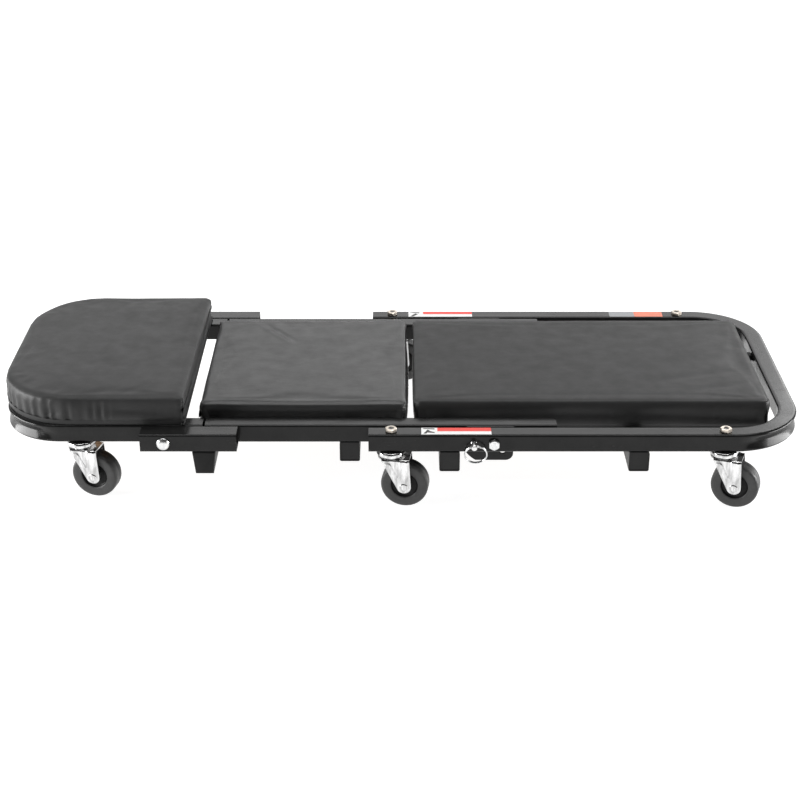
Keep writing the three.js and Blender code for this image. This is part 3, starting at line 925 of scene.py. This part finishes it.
def fork_path():
    """Points (y, z, outward y, outward z) over the fork's outer face, from side to side."""
    bend = 3.4
    side_steps, bend_steps, crown_steps = 34, 6, 20
    bottom = WHEEL_RADIUS - FORK_END
    side_top = CROWN_TOP - bend
    shares = [(i / side_steps) ** 1.15 for i in range(side_steps + 1)]
    heights = [bottom + 0.04 + (side_top - bottom) * share for share in shares]
    side = [(FORK_HALF, min(z, side_top), 1.0, 0.0) for z in heights]
    corner = []
    for i in range(1, bend_steps):
        angle = math.radians(90 * i / bend_steps)
        corner.append((
            FORK_HALF - bend + bend * math.cos(angle), side_top + bend * math.sin(angle),
            math.cos(angle), math.sin(angle),
        ))
    half = side + corner
    reach = FORK_HALF - bend
    crown = [
        (reach - i * 2 * reach / crown_steps, CROWN_TOP, 0.0, 1.0)
        for i in range(crown_steps + 1)
    ]
    return half + crown + [(-y, z, -ny, nz) for y, z, ny, nz in reversed(half)]


def fork_shape():
    """One pressed strip: side plates with relief, bent over into a crown with a raised raceway."""
    columns, raceway = 34, 2.2
    outer, inner = [], []
    for y, z, ny, nz in fork_path():
        round_front = -math.sqrt(CROWN_ROUND ** 2 - y ** 2)
        if nz < 1:
            front, rear = fork_edges(z)
            blend = math.asin(nz) / (math.pi / 2)
            front = front * (1 - blend) + round_front * blend
        else:
            front, rear = round_front, FORK_TOP_REAR
        for i in range(columns):
            x = front + (rear - front) * i / (columns - 1)
            if nz < 1:
                lift = fork_relief(x, z, front) * abs(ny)
            else:
                lift = raceway * (1 - smooth_step(math.hypot(x, y), 11.5, 14.5))
            point = Vector((x, y, z))
            outward = Vector((0, ny, nz))
            outer.append(point + lift * outward)
            inner.append(point + (lift - FORK_SHEET) * outward)
    return sheet(outer, inner, len(outer) // columns, columns)


def axle_shape():
    """A rivet through the fork: a dished head with a small centre mark at each end."""
    half = FORK_HALF + GAP
    end = [
        (4, half - 0.4), (5.4, half), (5.6, half + 0.5), (5.0, half + 1.2),
        (3.2, half + 1.7), (1.6, half + 1.5), (0, half + 1.1),
    ]
    mirrored = [(r, -z) for r, z in reversed(end)]
    return lathe(mirrored + end, 40).moved(turn(math.pi / 2, "X"))


def wheel_shape():
    """Hub boss, recessed web and a solid tread with rounded shoulders."""
    half = [
        (4.3, 12.3), (4.8, 12.8), (7.4, 12.8), (8.2, 12.2), (8.8, 8.0), (9.6, 7.2), (11, 7.0),
        (15.6, 7.0), (16.8, 7.3), (17.3, 8.2), (17.9, 10.0), (18.8, 10.7), (20, 10.8),
        (24, 11.1), (28, 11.1), (29.4, 10.8), (30.6, 10.0), (31.4, 8.8), (31.7, 7.2),
        (WHEEL_RADIUS, 5.0), (WHEEL_RADIUS, 1.0), (WHEEL_RADIUS - 0.15, 0.35),
    ]
    mirrored = [(r, -z) for r, z in reversed(half)]
    profile = half + mirrored
    return lathe(profile + profile[:1], 96).moved(turn(math.pi / 2, "X"))


def shade_web_tags(mesh):
    """Gives the recessed web the darker of the wheel's two materials, as painted shade in the recess."""
    for face in mesh.polygons:
        radius = math.hypot(face.center.x, face.center.z) / MM
        if 8.0 < radius < 18.0 and abs(face.center.y) / MM < 10:
            face.material_index = 1


def make_casters():
    nut = mesh_of("caster_nut_mesh", hexagon(14.2, 4.5, hole=3.4), [NICKEL], sharp=28)
    # Cup, fork and rivet take the chrome whose colour streaks are painted reflections.
    cup = mesh_of("caster_cup_mesh", cup_shape(), [CHROME_PAINTED_REFLECTIONS, DARK_STEEL], sharp=50)
    for face in cup.polygons:
        if face.center.z / MM > RAIL_TOP:
            face.material_index = 1
    fork = mesh_of("caster_fork_mesh", fork_shape(), [CHROME_PAINTED_REFLECTIONS], sharp=50, bevel=0.35)
    axle = mesh_of("caster_axle_mesh", axle_shape(), [CHROME_PAINTED_REFLECTIONS], sharp=50)
    # The wheel's second, darker material paints shade into its recessed web.
    wheel = mesh_of("caster_wheel_mesh", wheel_shape(), [WHEEL, RUBBER_AND_SHADE], sharp=50)
    shade_web_tags(wheel)
    nut_turn = math.radians(9)
    for end, side in product(("head", "mid", "foot"), SIDES):
        caster = f"caster_{end}_{side}"
        swivel = joint_point(f"{caster}_swivel")
        spin = joint_point(f"{caster}_spin")
        heading = math.atan2(spin.y - swivel.y, spin.x - swivel.x)
        fixed = shift(swivel.x, swivel.y, 0)
        turned = turn(heading, "Z", swivel.x, swivel.y, 0)
        wheel_place = turn(heading, "Z", *spin)
        stand = turn(nut_turn, "Z", swivel.x, swivel.y, RAIL_TOP + GAP)
        put(f"stem_nut_{end}_{side}", nut, [f"{caster}_nut"], place=stand)
        put(f"bearing_cup_{end}_{side}", cup, [f"{caster}_stem"], place=fixed)
        put(f"fork_{end}_{side}", fork, [f"{caster}_fork"], place=turned)
        put(f"rivet_{end}_{side}", axle, [f"{caster}_axle"], place=wheel_place)
        put(f"wheel_{end}_{side}", wheel, [f"{caster}_wheel"], place=wheel_place)


# ---- Labels: generic coloured blocks, with no lettering ----

def label_shape(x0, x1, y, parts):
    """A film on a rail's top face. Parts are (outline as shares of length and width, tag)."""
    width, film = 19.0, 0.12
    shape = Shape()
    for layer, (outline, tag) in enumerate(parts):
        lower, upper = (
            [(x0 + (x1 - x0) * u, y + width * (v - 0.5), z) for u, v in outline]
            for z in (RAIL_TOP + 0.02, RAIL_TOP + film * (1 + 0.35 * layer))
        )
        shape.add(plate(lower, upper).tagged(tag))
    return shape


def strip(u0, u1, v0, v1):
    return [(u0, v0), (u1, v0), (u1, v1), (u0, v1)]


def make_labels():
    prints = [PRINT_WHITE, PRINT_RED, PRINT_BLACK, PRINT_ORANGE, PRINT_GREY]
    white, red, black, orange, silver = range(5)
    ground = (strip(0, 1, 0, 1), white)
    right = [
        ground, (strip(0.23, 1, 0.46, 1), red),
        ([(0.03, 0.12), (0.07, 0.12), (0.12, 0.60), (0.09, 0.70)], black),
        ([(0.08, 0.30), (0.19, 0.20), (0.19, 0.32), (0.11, 0.52)], black),
        ([(0.02, 0.84), (0.19, 0.74), (0.19, 0.88), (0.04, 0.93)], black),
    ]
    left = [
        ground, (strip(0.23, 1, 0.5, 1), red),
        ([(0.03, 0.05), (0.08, 0.05), (0.15, 0.50), (0.11, 0.66)], black),
        ([(0.02, 0.90), (0.17, 0.68), (0.17, 0.84), (0.05, 0.97)], black),
    ]
    # The notice is grey and orange; the other two hold a meaningless mark and a red band.
    notice = [(strip(0, 0.47, 0, 1), silver), (strip(0.47, 1, 0, 1), orange)]
    places = {
        "label_right": (28, 120, -BASE_Y, right),
        "label_left": (13, 110, BASE_Y, left),
        "label_notice": (320, 401, BASE_Y, notice),
    }
    for name, (x0, x1, y, parts) in places.items():
        show(name, label_shape(x0, x1, y, parts), prints, "label", body="base")


# ---- Pads ----

# Corner radii of the outline, the crown's rise, the top edge's radius and squareness, how far
# the pad spreads at its head and foot ends, and the share of the full relief in its corner folds.
PADS = {
    "head": {
        "body": "head", "head_corner": 104.0, "foot_corner": 5.0,
        "crown": 3.0, "edge": 15.0, "power": 2.8, "spread": (0.0, 0.0), "fold": 0.6,
    },
    "middle": {
        "body": "middle", "head_corner": 5.0, "foot_corner": 5.0,
        "crown": 1.2, "edge": 13.0, "power": 3.0, "spread": (0.0, 2.0), "fold": 1.0,
    },
    "leg": {
        "body": "base", "head_corner": 5.0, "foot_corner": 5.0,
        "crown": 2.0, "edge": 9.0, "power": 3.6, "spread": (2.0, 2.5), "fold": 1.0,
    },
}
VOXEL = 5.0                    # of the mesh that the simulation starts from
LIFT = 0.35                    # of the pad's underside off its board
SWELL = 1.6                    # how much smaller than the finished pad the simulation starts
CAP = 3.2                      # furthest that a point may move
RIM = 24.0                     # band along the top edge that is squared up
CROWN_REACH = 90.0             # distance from the edge at which the top is fully domed
UNEVENNESS = 0.4               # share of the simulated lumps that the top keeps
HEM = 0.25                     # thickness of the vinyl under a board
COVER = {                      # the vinyl cover as simulated cloth
    "quality": 6, "mass": 0.35, "tension_stiffness": 60, "compression_stiffness": 40,
    "shear_stiffness": 25, "bending_stiffness": 2.0, "use_pressure": True,
    "uniform_pressure_force": 4.0, "vertex_group_mass": "stapled",
}


def pad_outline(low, high, head_corner, foot_corner, inset=0.0, spacing=6.0):
    """Points round a pad, anticlockwise from the foot end's left corner."""
    x0, x1, half = low.x + inset, high.x - inset, high.y - inset
    head, foot = max(head_corner - inset, 3), max(foot_corner - inset, 3)
    head_steps, foot_steps = (
        max(4, int(corner * math.pi / 2 / spacing)) for corner in (head_corner, foot_corner)
    )
    quarters = [
        ((x1 - foot, half - foot), foot, 0, foot_steps),
        ((x0 + head, half - head), head, 90, head_steps),
        ((x0 + head, -half + head), head, 180, head_steps),
        ((x1 - foot, -half + foot), foot, 270, foot_steps),
    ]
    outline = []
    for centre, radius, start, steps in quarters:
        points = arc(centre, radius, start, start + 90, steps)
        if outline:
            outline += between(outline[-1], points[0], 2)
        outline += points
    return outline


def pad_start(low, high, pad):
    """A plain closed form, a little smaller than the pad, with a rounded top edge."""
    rim = 8.5
    rings = [(SWELL + 3.0, low.z + 0.4), (SWELL + 0.6, low.z + 4.5)]
    top = high.z - SWELL
    for angle in (0, 22, 45, 67, 90):
        a = math.radians(angle)
        rings.append((SWELL + rim * (1 - math.cos(a)), top - rim + rim * math.sin(a)))
    points = []
    for inset, z in rings:
        outline = pad_outline(low, high, pad["head_corner"], pad["foot_corner"], inset)
        points += [Vector((x, y, z)) for x, y in outline]
    return capped_rows(points, len(rings), len(outline))


def vertex_values(mesh, key):
    values = np.empty(len(mesh.vertices) * 3)
    mesh.vertices.foreach_get(key, values)
    return values.reshape(-1, 3)


def coordinates(mesh):
    return vertex_values(mesh, "co") / MM


def set_coordinates(mesh, points):
    mesh.vertices.foreach_set("co", (points * MM).ravel())
    mesh.update()


def inflated(mesh, floor_z):
    """Blows the cover up with air pressure while its underside stays stapled to the board."""
    obj = new_object("inflate", mesh)
    start = coordinates(mesh)
    group = obj.vertex_groups.new(name="stapled")
    group.add([int(i) for i in np.nonzero(start[:, 2] < floor_z + 4.0)[0]], 1.0, "REPLACE")
    cloth = obj.modifiers.new("cloth", "CLOTH")
    last_frame = 20
    for key, value in COVER.items():
        setattr(cloth.settings, key, value)
    cloth.settings.effector_weights.gravity = 0
    cloth.collision_settings.use_collision = False
    cloth.collision_settings.use_self_collision = False
    cloth.point_cache.frame_start = 1
    cloth.point_cache.frame_end = last_frame
    for number in range(1, last_frame + 1):
        bpy.context.scene.frame_set(number)
    result = evaluated_mesh(obj)
    bpy.context.scene.frame_set(1)
    bpy.data.objects.remove(obj)
    moved = coordinates(result) - start
    reach = np.linalg.norm(moved, axis=1, keepdims=True)
    capped = start + moved * np.minimum(1, CAP / np.maximum(reach, 1e-6))
    set_coordinates(result, capped)
    return result


def fitted(points, low, high, crown):
    """Stretches the blown-up form to the pad's box, and lets its middle rise by the crown."""
    own_low, own_high = points.min(0), points.max(0)
    for axis in (0, 1):
        share = (points[:, axis] - own_low[axis]) / (own_high[axis] - own_low[axis])
        points[:, axis] = low[axis] + share * (high[axis] - low[axis])
    share = np.clip((points[:, 2] - own_low[2]) / (own_high[2] - own_low[2]), 0, 1)
    points[:, 2] = low.z + LIFT + share * (high.z + crown - low.z - LIFT)
    return points


def plan_inset(points, low, high, pad):
    """How far each point lies inside the pad's outline, and the outward direction there."""
    towards_head = points[:, 0] < (low.x + high.x) / 2
    radius = np.where(towards_head, pad["head_corner"], pad["foot_corner"])
    along = np.where(towards_head, low.x - points[:, 0], points[:, 0] - high.x) + radius
    across = np.abs(points[:, 1]) - high.y + radius
    on_curve = (along > 0) & (across > 0)
    reach = np.where(on_curve, np.hypot(along, across), np.maximum(along, across))
    outward_x = np.where(on_curve, along / np.maximum(reach, 1e-6), along >= across)
    outward_y = np.where(on_curve, across / np.maximum(reach, 1e-6), along < across)
    outward_x = outward_x * np.where(towards_head, -1, 1)
    outward_y = outward_y * np.sign(points[:, 1])
    return radius - reach, np.stack([outward_x, outward_y], 1)


def squared(points, low, high, pad):
    """Pushes the top edge out towards the pad's box, so that it keeps a tight radius."""
    inset, outward = plan_inset(points, low, high, pad)
    side = 1 - inset / RIM
    top = 1 - (high.z - points[:, 2]) / RIM
    length = np.maximum(np.hypot(side, top), 1e-6)
    share = np.clip(side, 0, None) ** pad["power"] + np.clip(top, 0, None) ** pad["power"]
    grow = np.where((side > 0) & (top > 0), length / np.maximum(share, 1e-9) ** (1 / pad["power"]), 1)
    out = np.minimum(side * grow, np.maximum(side, 1)) - side
    up = np.minimum(top * grow, np.maximum(top, 1)) - top
    points[:, :2] += outward * (out * RIM)[:, None]
    points[:, 2] += up * RIM
    return points


def levelled(points, normals, low, high, pad):
    """Brings the top's average profile to an even dome that drops away over the edge radius."""
    inset = plan_inset(points, low, high, pad)[0]
    facing = np.clip((normals[:, 2] - 0.3) / 0.4, 0, 1)
    stops = np.concatenate([np.arange(1.0, 30.0, 2.5), np.arange(32.0, CROWN_REACH + 9, 8.0)])
    widths = np.gradient(stops) / 2
    own = []
    for stop, width in zip(stops, widths):
        chosen = (np.abs(inset - stop) < width) & (normals[:, 2] > 0.3)
        own.append(np.mean(points[chosen, 2]) if chosen.any() else np.nan)
    own = np.array(own)
    known = ~np.isnan(own)
    share = np.clip(inset / CROWN_REACH, 0, 1)
    wanted = high.z + pad["crown"] * share * (2 - share)
    edge = pad["edge"]
    over = np.clip(edge - inset, 0, edge)
    wanted -= edge - np.sqrt(edge ** 2 - over ** 2)
    uneven = points[:, 2] - np.interp(inset, stops[known], own[known])
    change = wanted + UNEVENNESS * uneven - points[:, 2]
    points[:, 2] += facing * np.clip(change, -4, 4)
    return points


def wall_share(points, normals, low, high):
    """1 at the foot of the pad's side walls, fading to 0 towards its top edge."""
    height = np.clip((points[:, 2] - low.z) / (high.z - low.z), 0, 1)
    upright = 1 - np.clip(np.abs(normals[:, 2]) / 0.75, 0, 1)
    return upright * (1 - height) ** 0.8


def straight_walls(points, high):
    """Position along a side wall: X on the long sides and Y on the ends."""
    return np.where(np.abs(points[:, 1]) > high.y - 8, points[:, 0], points[:, 1])


def round_head(points, low, high, radius):
    """Arc length round the head pad, from the start of its near curve; it grows towards the front."""
    centre_x = low.x + radius
    half = high.y - radius
    x, y = points[:, 0], points[:, 1]
    side_y = np.abs(y)
    angle = np.arctan2(centre_x - x, np.maximum(side_y - half, 1e-3))
    on_curve = (x < centre_x) & (side_y > half)
    on_front = (x < centre_x) & ~on_curve
    arc_length = np.where(on_curve, radius * angle, centre_x - x)
    return np.where(on_front, radius * math.pi / 2 + half - side_y, arc_length)


def pleats(position, places):
    """A dip with a ridge on each side at each place (position, depth, width)."""
    depth = np.zeros_like(position)
    for place, amount, width in places:
        offset = (position - place) / width
        depth += amount * (np.exp(-offset ** 2) - 0.45 * np.exp(-((np.abs(offset) - 1.9) / 0.8) ** 2))
    return depth


def scattered_pleats(start, end, spacing, depth, seed):
    """Pleats at uneven places, always the same for a seed."""
    draws = np.random.default_rng(seed)
    places = []
    place = start
    while place < end:
        places.append((place, depth * draws.uniform(0.4, 1.2), draws.uniform(2.4, 4.2)))
        place += spacing * draws.uniform(0.6, 1.5)
    return places


def soft_waves(points, wavelength, seed):
    """Smooth noise between about -1 and 1 at each point."""
    scale = 1 / wavelength
    return np.array([noise.noise(Vector(p) * scale + Vector((seed, seed, 0))) for p in points])


def crease(points, start, end, width):
    """A narrow fold between two points in plan: 1 on its line, fading to its ends."""
    a, b = np.array(start), np.array(end)
    along = b - a
    share = np.clip(((points[:, :2] - a) @ along) / (along @ along), 0, 1)
    distance = np.linalg.norm(points[:, :2] - (a + share[:, None] * along), axis=1)
    return np.exp(-(distance / width) ** 2) * np.sin(np.pi * np.clip(share, 0.02, 0.98))


def shape_head(points, normals, low, high):
    """Pleats round the curve, deepest at the near side's bend, and a shallow hollow on top."""
    around = round_head(points, low, high, PADS["head"]["head_corner"])
    near = points[:, 1] < 0
    main = [(-42, 3.6, 3.2), (-32, 1.7, 3.0), (-52, 1.3, 3.0), (-18, 1.2, 4.0)]
    depth = np.where(near, pleats(around, main + scattered_pleats(2, 330, 12, 2.3, 4)), 0)
    depth += np.where(~near, pleats(around, scattered_pleats(-90, 330, 14, 1.5, 9)), 0)
    hollow = crease(points, (low.x + 70, low.y + 26), (low.x + 150, low.y + 14), 14)
    return -depth * wall_share(points, normals, low, high) - 0.8 * hollow


def shape_middle(points, normals, low, high):
    """A diagonal fold with a ridge beside it, a second fold along the far edge, a few pleats."""
    fold = crease(points, (low.x + 66, high.y - 12), (low.x + 128, high.y - 96), 3.6)
    ridge = crease(points, (low.x + 58, high.y - 18), (low.x + 120, high.y - 102), 4.0)
    second = crease(points, (low.x + 14, high.y - 20), (low.x + 84, high.y - 10), 5.0)
    depth = pleats(straight_walls(points, high), scattered_pleats(low.x, high.x, 46, 0.8, 21))
    depth *= wall_share(points, normals, low, high)
    return 0.9 * ridge - 1.3 * fold - 0.8 * second - depth


def shape_leg(points, normals, low, high):
    """Two faint creases towards the foot end and a few pleats."""
    faint = crease(points, (high.x - 150, low.y + 60), (high.x - 40, low.y + 100), 9.0)
    faint += crease(points, (high.x - 120, low.y + 30), (high.x - 30, low.y + 55), 8.0)
    depth = pleats(straight_walls(points, high), scattered_pleats(low.x, high.x, 60, 0.7, 33))
    return -0.7 * faint - depth * wall_share(points, normals, low, high)


SHAPERS = {"head": shape_head, "middle": shape_middle, "leg": shape_leg}


def make_cushion(name):
    """One pad: blown up, fitted to its box, squared, levelled and creased."""
    pad = PADS[name]
    low, high = box(f"{name}_cushion")
    low.x -= pad["spread"][0]
    high.x += pad["spread"][1]
    leather = LEATHERS[name]
    mesh = mesh_of(f"{name}_start", pad_start(low, high, pad), [leather])
    mesh = modified(mesh, "REMESH", mode="VOXEL", voxel_size=VOXEL * MM)
    mesh = inflated(mesh, low.z)
    mesh = modified(mesh, "SUBSURF", levels=1)
    points = squared(fitted(coordinates(mesh), low, high, pad["crown"]), low, high, pad)
    set_coordinates(mesh, points)
    points = levelled(points, vertex_values(mesh, "normal"), low, high, pad)
    set_coordinates(mesh, points)
    normals = vertex_values(mesh, "normal")
    lift = SHAPERS[name](points, normals, low, high)
    off_board = np.clip((points[:, 2] - low.z - 4) / 12, 0, 1)
    waves = 0.45 * soft_waves(points, 90, 3.1) + 0.12 * soft_waves(points, 30, 8.7)
    points = points + normals * (lift + waves * off_board)[:, None]
    points[:, 2] = np.maximum(points[:, 2], low.z + LIFT)
    set_coordinates(mesh, points)
    mesh.materials.clear()
    mesh.materials.append(leather)
    mesh.polygons.foreach_set("use_smooth", [True] * len(mesh.polygons))
    mesh.name = f"{name}_pad"
    cushion = put(f"{name}_pad", mesh, [f"{name}_cushion"])
    return cushion


def corner_fold(cushion, name, corner, along, outward, reach):
    """A flap of vinyl folded round a pad's upright corner and pulled down over its side.

    Its columns are (distance from the corner, lift off the side), and one is a groove whose faces get a dark
    material as painted shade.
    """
    tree = BVHTree.FromPolygons(
        [v.co / MM for v in cushion.data.vertices],
        [p.vertices[:] for p in cushion.data.polygons],
    )
    low, high = box(f"{name}_cushion")
    bottom, top = low.z + 1.0, high.z - 3.0
    along, outward = Vector(along), Vector(outward)
    columns = [
        (-3.0, -0.4), (-2.2, 0.5), (-1.2, 1.0), (-1.0, 0.15), (0.4, 0.15), (0.6, 1.5),
        (1.3, 2.0), (3.0, 1.9), (6.5, 1.2), (10.0, 0.4), (reach, -0.5),
    ]
    rows, groove, thickness, away = 18, 3, 0.9, 60
    points = []
    for row in range(rows + 1):
        share = row / rows
        z = bottom + (top - bottom) * share
        for distance, lift in columns:
            distance *= 1 - 0.6 * share ** 3
            origin = Vector(corner) + along * distance + outward * away
            origin.z = z
            hit = tree.ray_cast(origin, -outward)[0]
            base = hit if hit is not None else origin - outward * away
            points.append(base + outward * lift * PADS[name]["fold"] * (1 - share ** 4))
    count = len(columns)
    # The groove's faces take the second, dark material: painted shade inside the fold.
    tags = [1 if i % (count - 1) == groove else 0 for i in range(rows * (count - 1))]
    back = [p - outward * thickness for p in points]
    return sheet(points, back, rows + 1, count, tags)


def make_corner_folds(cushions):
    """One at each square corner: all four of a pad, but only the head pad's foot end."""
    from_corner, reach = 5.0, 15.0
    for name, pad in PADS.items():
        low, high = box(f"{name}_cushion")
        ends = [(high.x, -1)] if name == "head" else [(low.x, 1), (high.x, -1)]
        shape = Shape()
        for (y, out), (x, inwards) in product([(low.y, -1), (high.y, 1)], ends):
            corner = (x + from_corner * inwards, y, 0)
            along, outward = (inwards, 0, 0), (0, out, 0)
            shape.add(corner_fold(cushions[name], name, corner, along, outward, reach))
        # The dark second material is painted shade in each fold's groove.
        show(
            f"{name}_corner_folds", shape, [LEATHERS[name], RUBBER_AND_SHADE], "leatherette",
            body=pad["body"], sharp=70,
        )


def spaced_along(outline, spacing):
    """Places (x, y, heading) at even distances round a closed outline."""
    places = []
    ahead = spacing / 2
    for (ax, ay), (bx, by) in zip(outline, outline[1:] + outline[:1]):
        length = math.hypot(bx - ax, by - ay)
        while ahead < length:
            share = ahead / length
            heading = math.atan2(by - ay, bx - ax)
            places.append((ax + (bx - ax) * share, ay + (by - ay) * share, heading))
            ahead += spacing
        ahead -= length
    return places


def hem_shape(low, high, corners):
    """Vinyl drawn round the board's side and under it, with an uneven inner edge."""
    width, skirt, rows = 24.0, 6.0, 5
    outer = pad_outline(low, high, *corners, inset=-3.5)
    inner = pad_outline(low, high, *corners, inset=width)
    points = [Vector((x, y, low.z + skirt)) for x, y in outer]
    for row in range(rows + 1):
        share = row / rows
        for index, (a, b) in enumerate(zip(outer, inner)):
            wave = 1 + 0.16 * noise.noise((a[0] * 0.05, a[1] * 0.05, 2.0)) * share
            x, y = (a[k] + (b[k] - a[k]) * share * wave for k in (0, 1))
            dip = 0.12 * noise.noise((x * 0.2, y * 0.2, index * 0.1))
            points.append(Vector((x, y, low.z - HEM - dip if row < rows else low.z + 0.05)))
    return Shape(points, grid_faces(rows + 2, len(outer), wrap=True))


def staples_shape(low, high, corners):
    line = pad_outline(low, high, *corners, inset=15.0)
    spacing, wire = 32.0, 0.3
    shape = Shape()
    for x, y, heading in spaced_along(line, spacing):
        staple = block((-5.5, -0.5, 0), (5.5, 0.5, wire))
        shape.add(staple.moved(turn(heading, "Z", x, y, low.z - HEM - 0.12 - wire)))
    return shape


def make_undersides():
    """The boards' grain, and the stapled hem of vinyl round each of them."""
    for name, pad in PADS.items():
        board = frame["nodes"][f"{name}_board"]
        board.data.materials.clear()
        board.data.materials.append(PLYWOOD)
        low, high = box(f"{name}_board")
        corners = (max(pad["head_corner"] - 6, 3), max(pad["foot_corner"] - 6, 3))
        hem = hem_shape(low, high, corners)
        show(f"{name}_hem", hem, [LEATHERS[name]], "leatherette", body=pad["body"])
        staples = staples_shape(low, high, corners)
        show(f"{name}_staples", staples, [ZINC], "zinc", body=pad["body"], bevel=0.12)


# ---- Studio ----

# Each light's place, target, size (all in metres) and power in watts.
LIGHTS = {
    "top": ((0.0, 0.4, 2.2), (0, 0, 0), (2.6, 1.4), 44),
    "back": ((0.0, 3.1, 1.5), (0, 0, 0.1), (5.0, 1.5), 42),
    "back_right": ((1.9, 2.6, 1.35), (0.6, 0, 0.1), (1.3, 1.0), 16),
    "left": ((-2.2, -0.3, 0.45), (-0.4, 0, 0.1), (1.8, 0.8), 78),
    "right": ((2.3, -0.1, 0.42), (0.5, 0, 0.1), (1.8, 0.75), 60),
}


def make_camera():
    """Looks down 26 degrees, square on to the long side, from 2.38 m away."""
    down = math.radians(26)
    distance, target = 2.38, Vector((0, 0.0209, 0.0455))
    data = bpy.data.cameras.new("camera")
    data.sensor_width = 36.0
    data.lens = 73.8
    camera = new_object("camera", data)
    camera.location = target + distance * Vector((0, -math.cos(down), math.sin(down)))
    camera.rotation_euler = (math.pi / 2 - down, 0, 0)
    bpy.context.scene.camera = camera


def make_floor():
    mesh = bpy.data.meshes.new("floor")
    reach = 30.0
    corners = [(-reach, -reach, 0), (reach, -reach, 0), (reach, reach, 0), (-reach, reach, 0)]
    mesh.from_pydata(corners, [], [(0, 1, 2, 3)])
    surface = Surface("studio_floor", Roughness=0.9, Specular_IOR_Level=0.0, Emission_Strength=0.93)
    surface.shader.inputs["Base Color"].default_value = (0.35, 0.35, 0.35, 1)
    surface.shader.inputs["Emission Color"].default_value = (1, 1, 1, 1)
    mesh.materials.append(surface.material)
    floor = new_object("floor", mesh)


def area_light(name, location, target, size, power):
    data = bpy.data.lights.new(name, "AREA")
    data.shape = "RECTANGLE"
    data.size, data.size_y = size
    data.energy = power
    light = new_object(name, data)
    light.location = location
    direction = Vector(target) - Vector(location)
    light.rotation_euler = direction.to_track_quat("-Z", "Y").to_euler()


def make_studio():
    world = bpy.data.worlds.new("studio")
    bpy.context.scene.world = world
    world.use_nodes = True
    nodes = world.node_tree.nodes
    nodes["Background"].inputs["Strength"].default_value = 0.42
    for name, light in LIGHTS.items():
        area_light(f"{name}_softbox", *light)
    view = bpy.context.scene.view_settings
    view.view_transform = "Standard"
    view.look = "None"


make_camera()
make_studio()
make_floor()
make_frames()
make_straight_rails()
make_cross_members()
make_welds()
make_bumper()
make_lock_plates()
make_pins_and_rings()
make_bolts()
make_casters()
make_labels()
cushions = {name: make_cushion(name) for name in PADS}
make_corner_folds(cushions)
make_undersides()
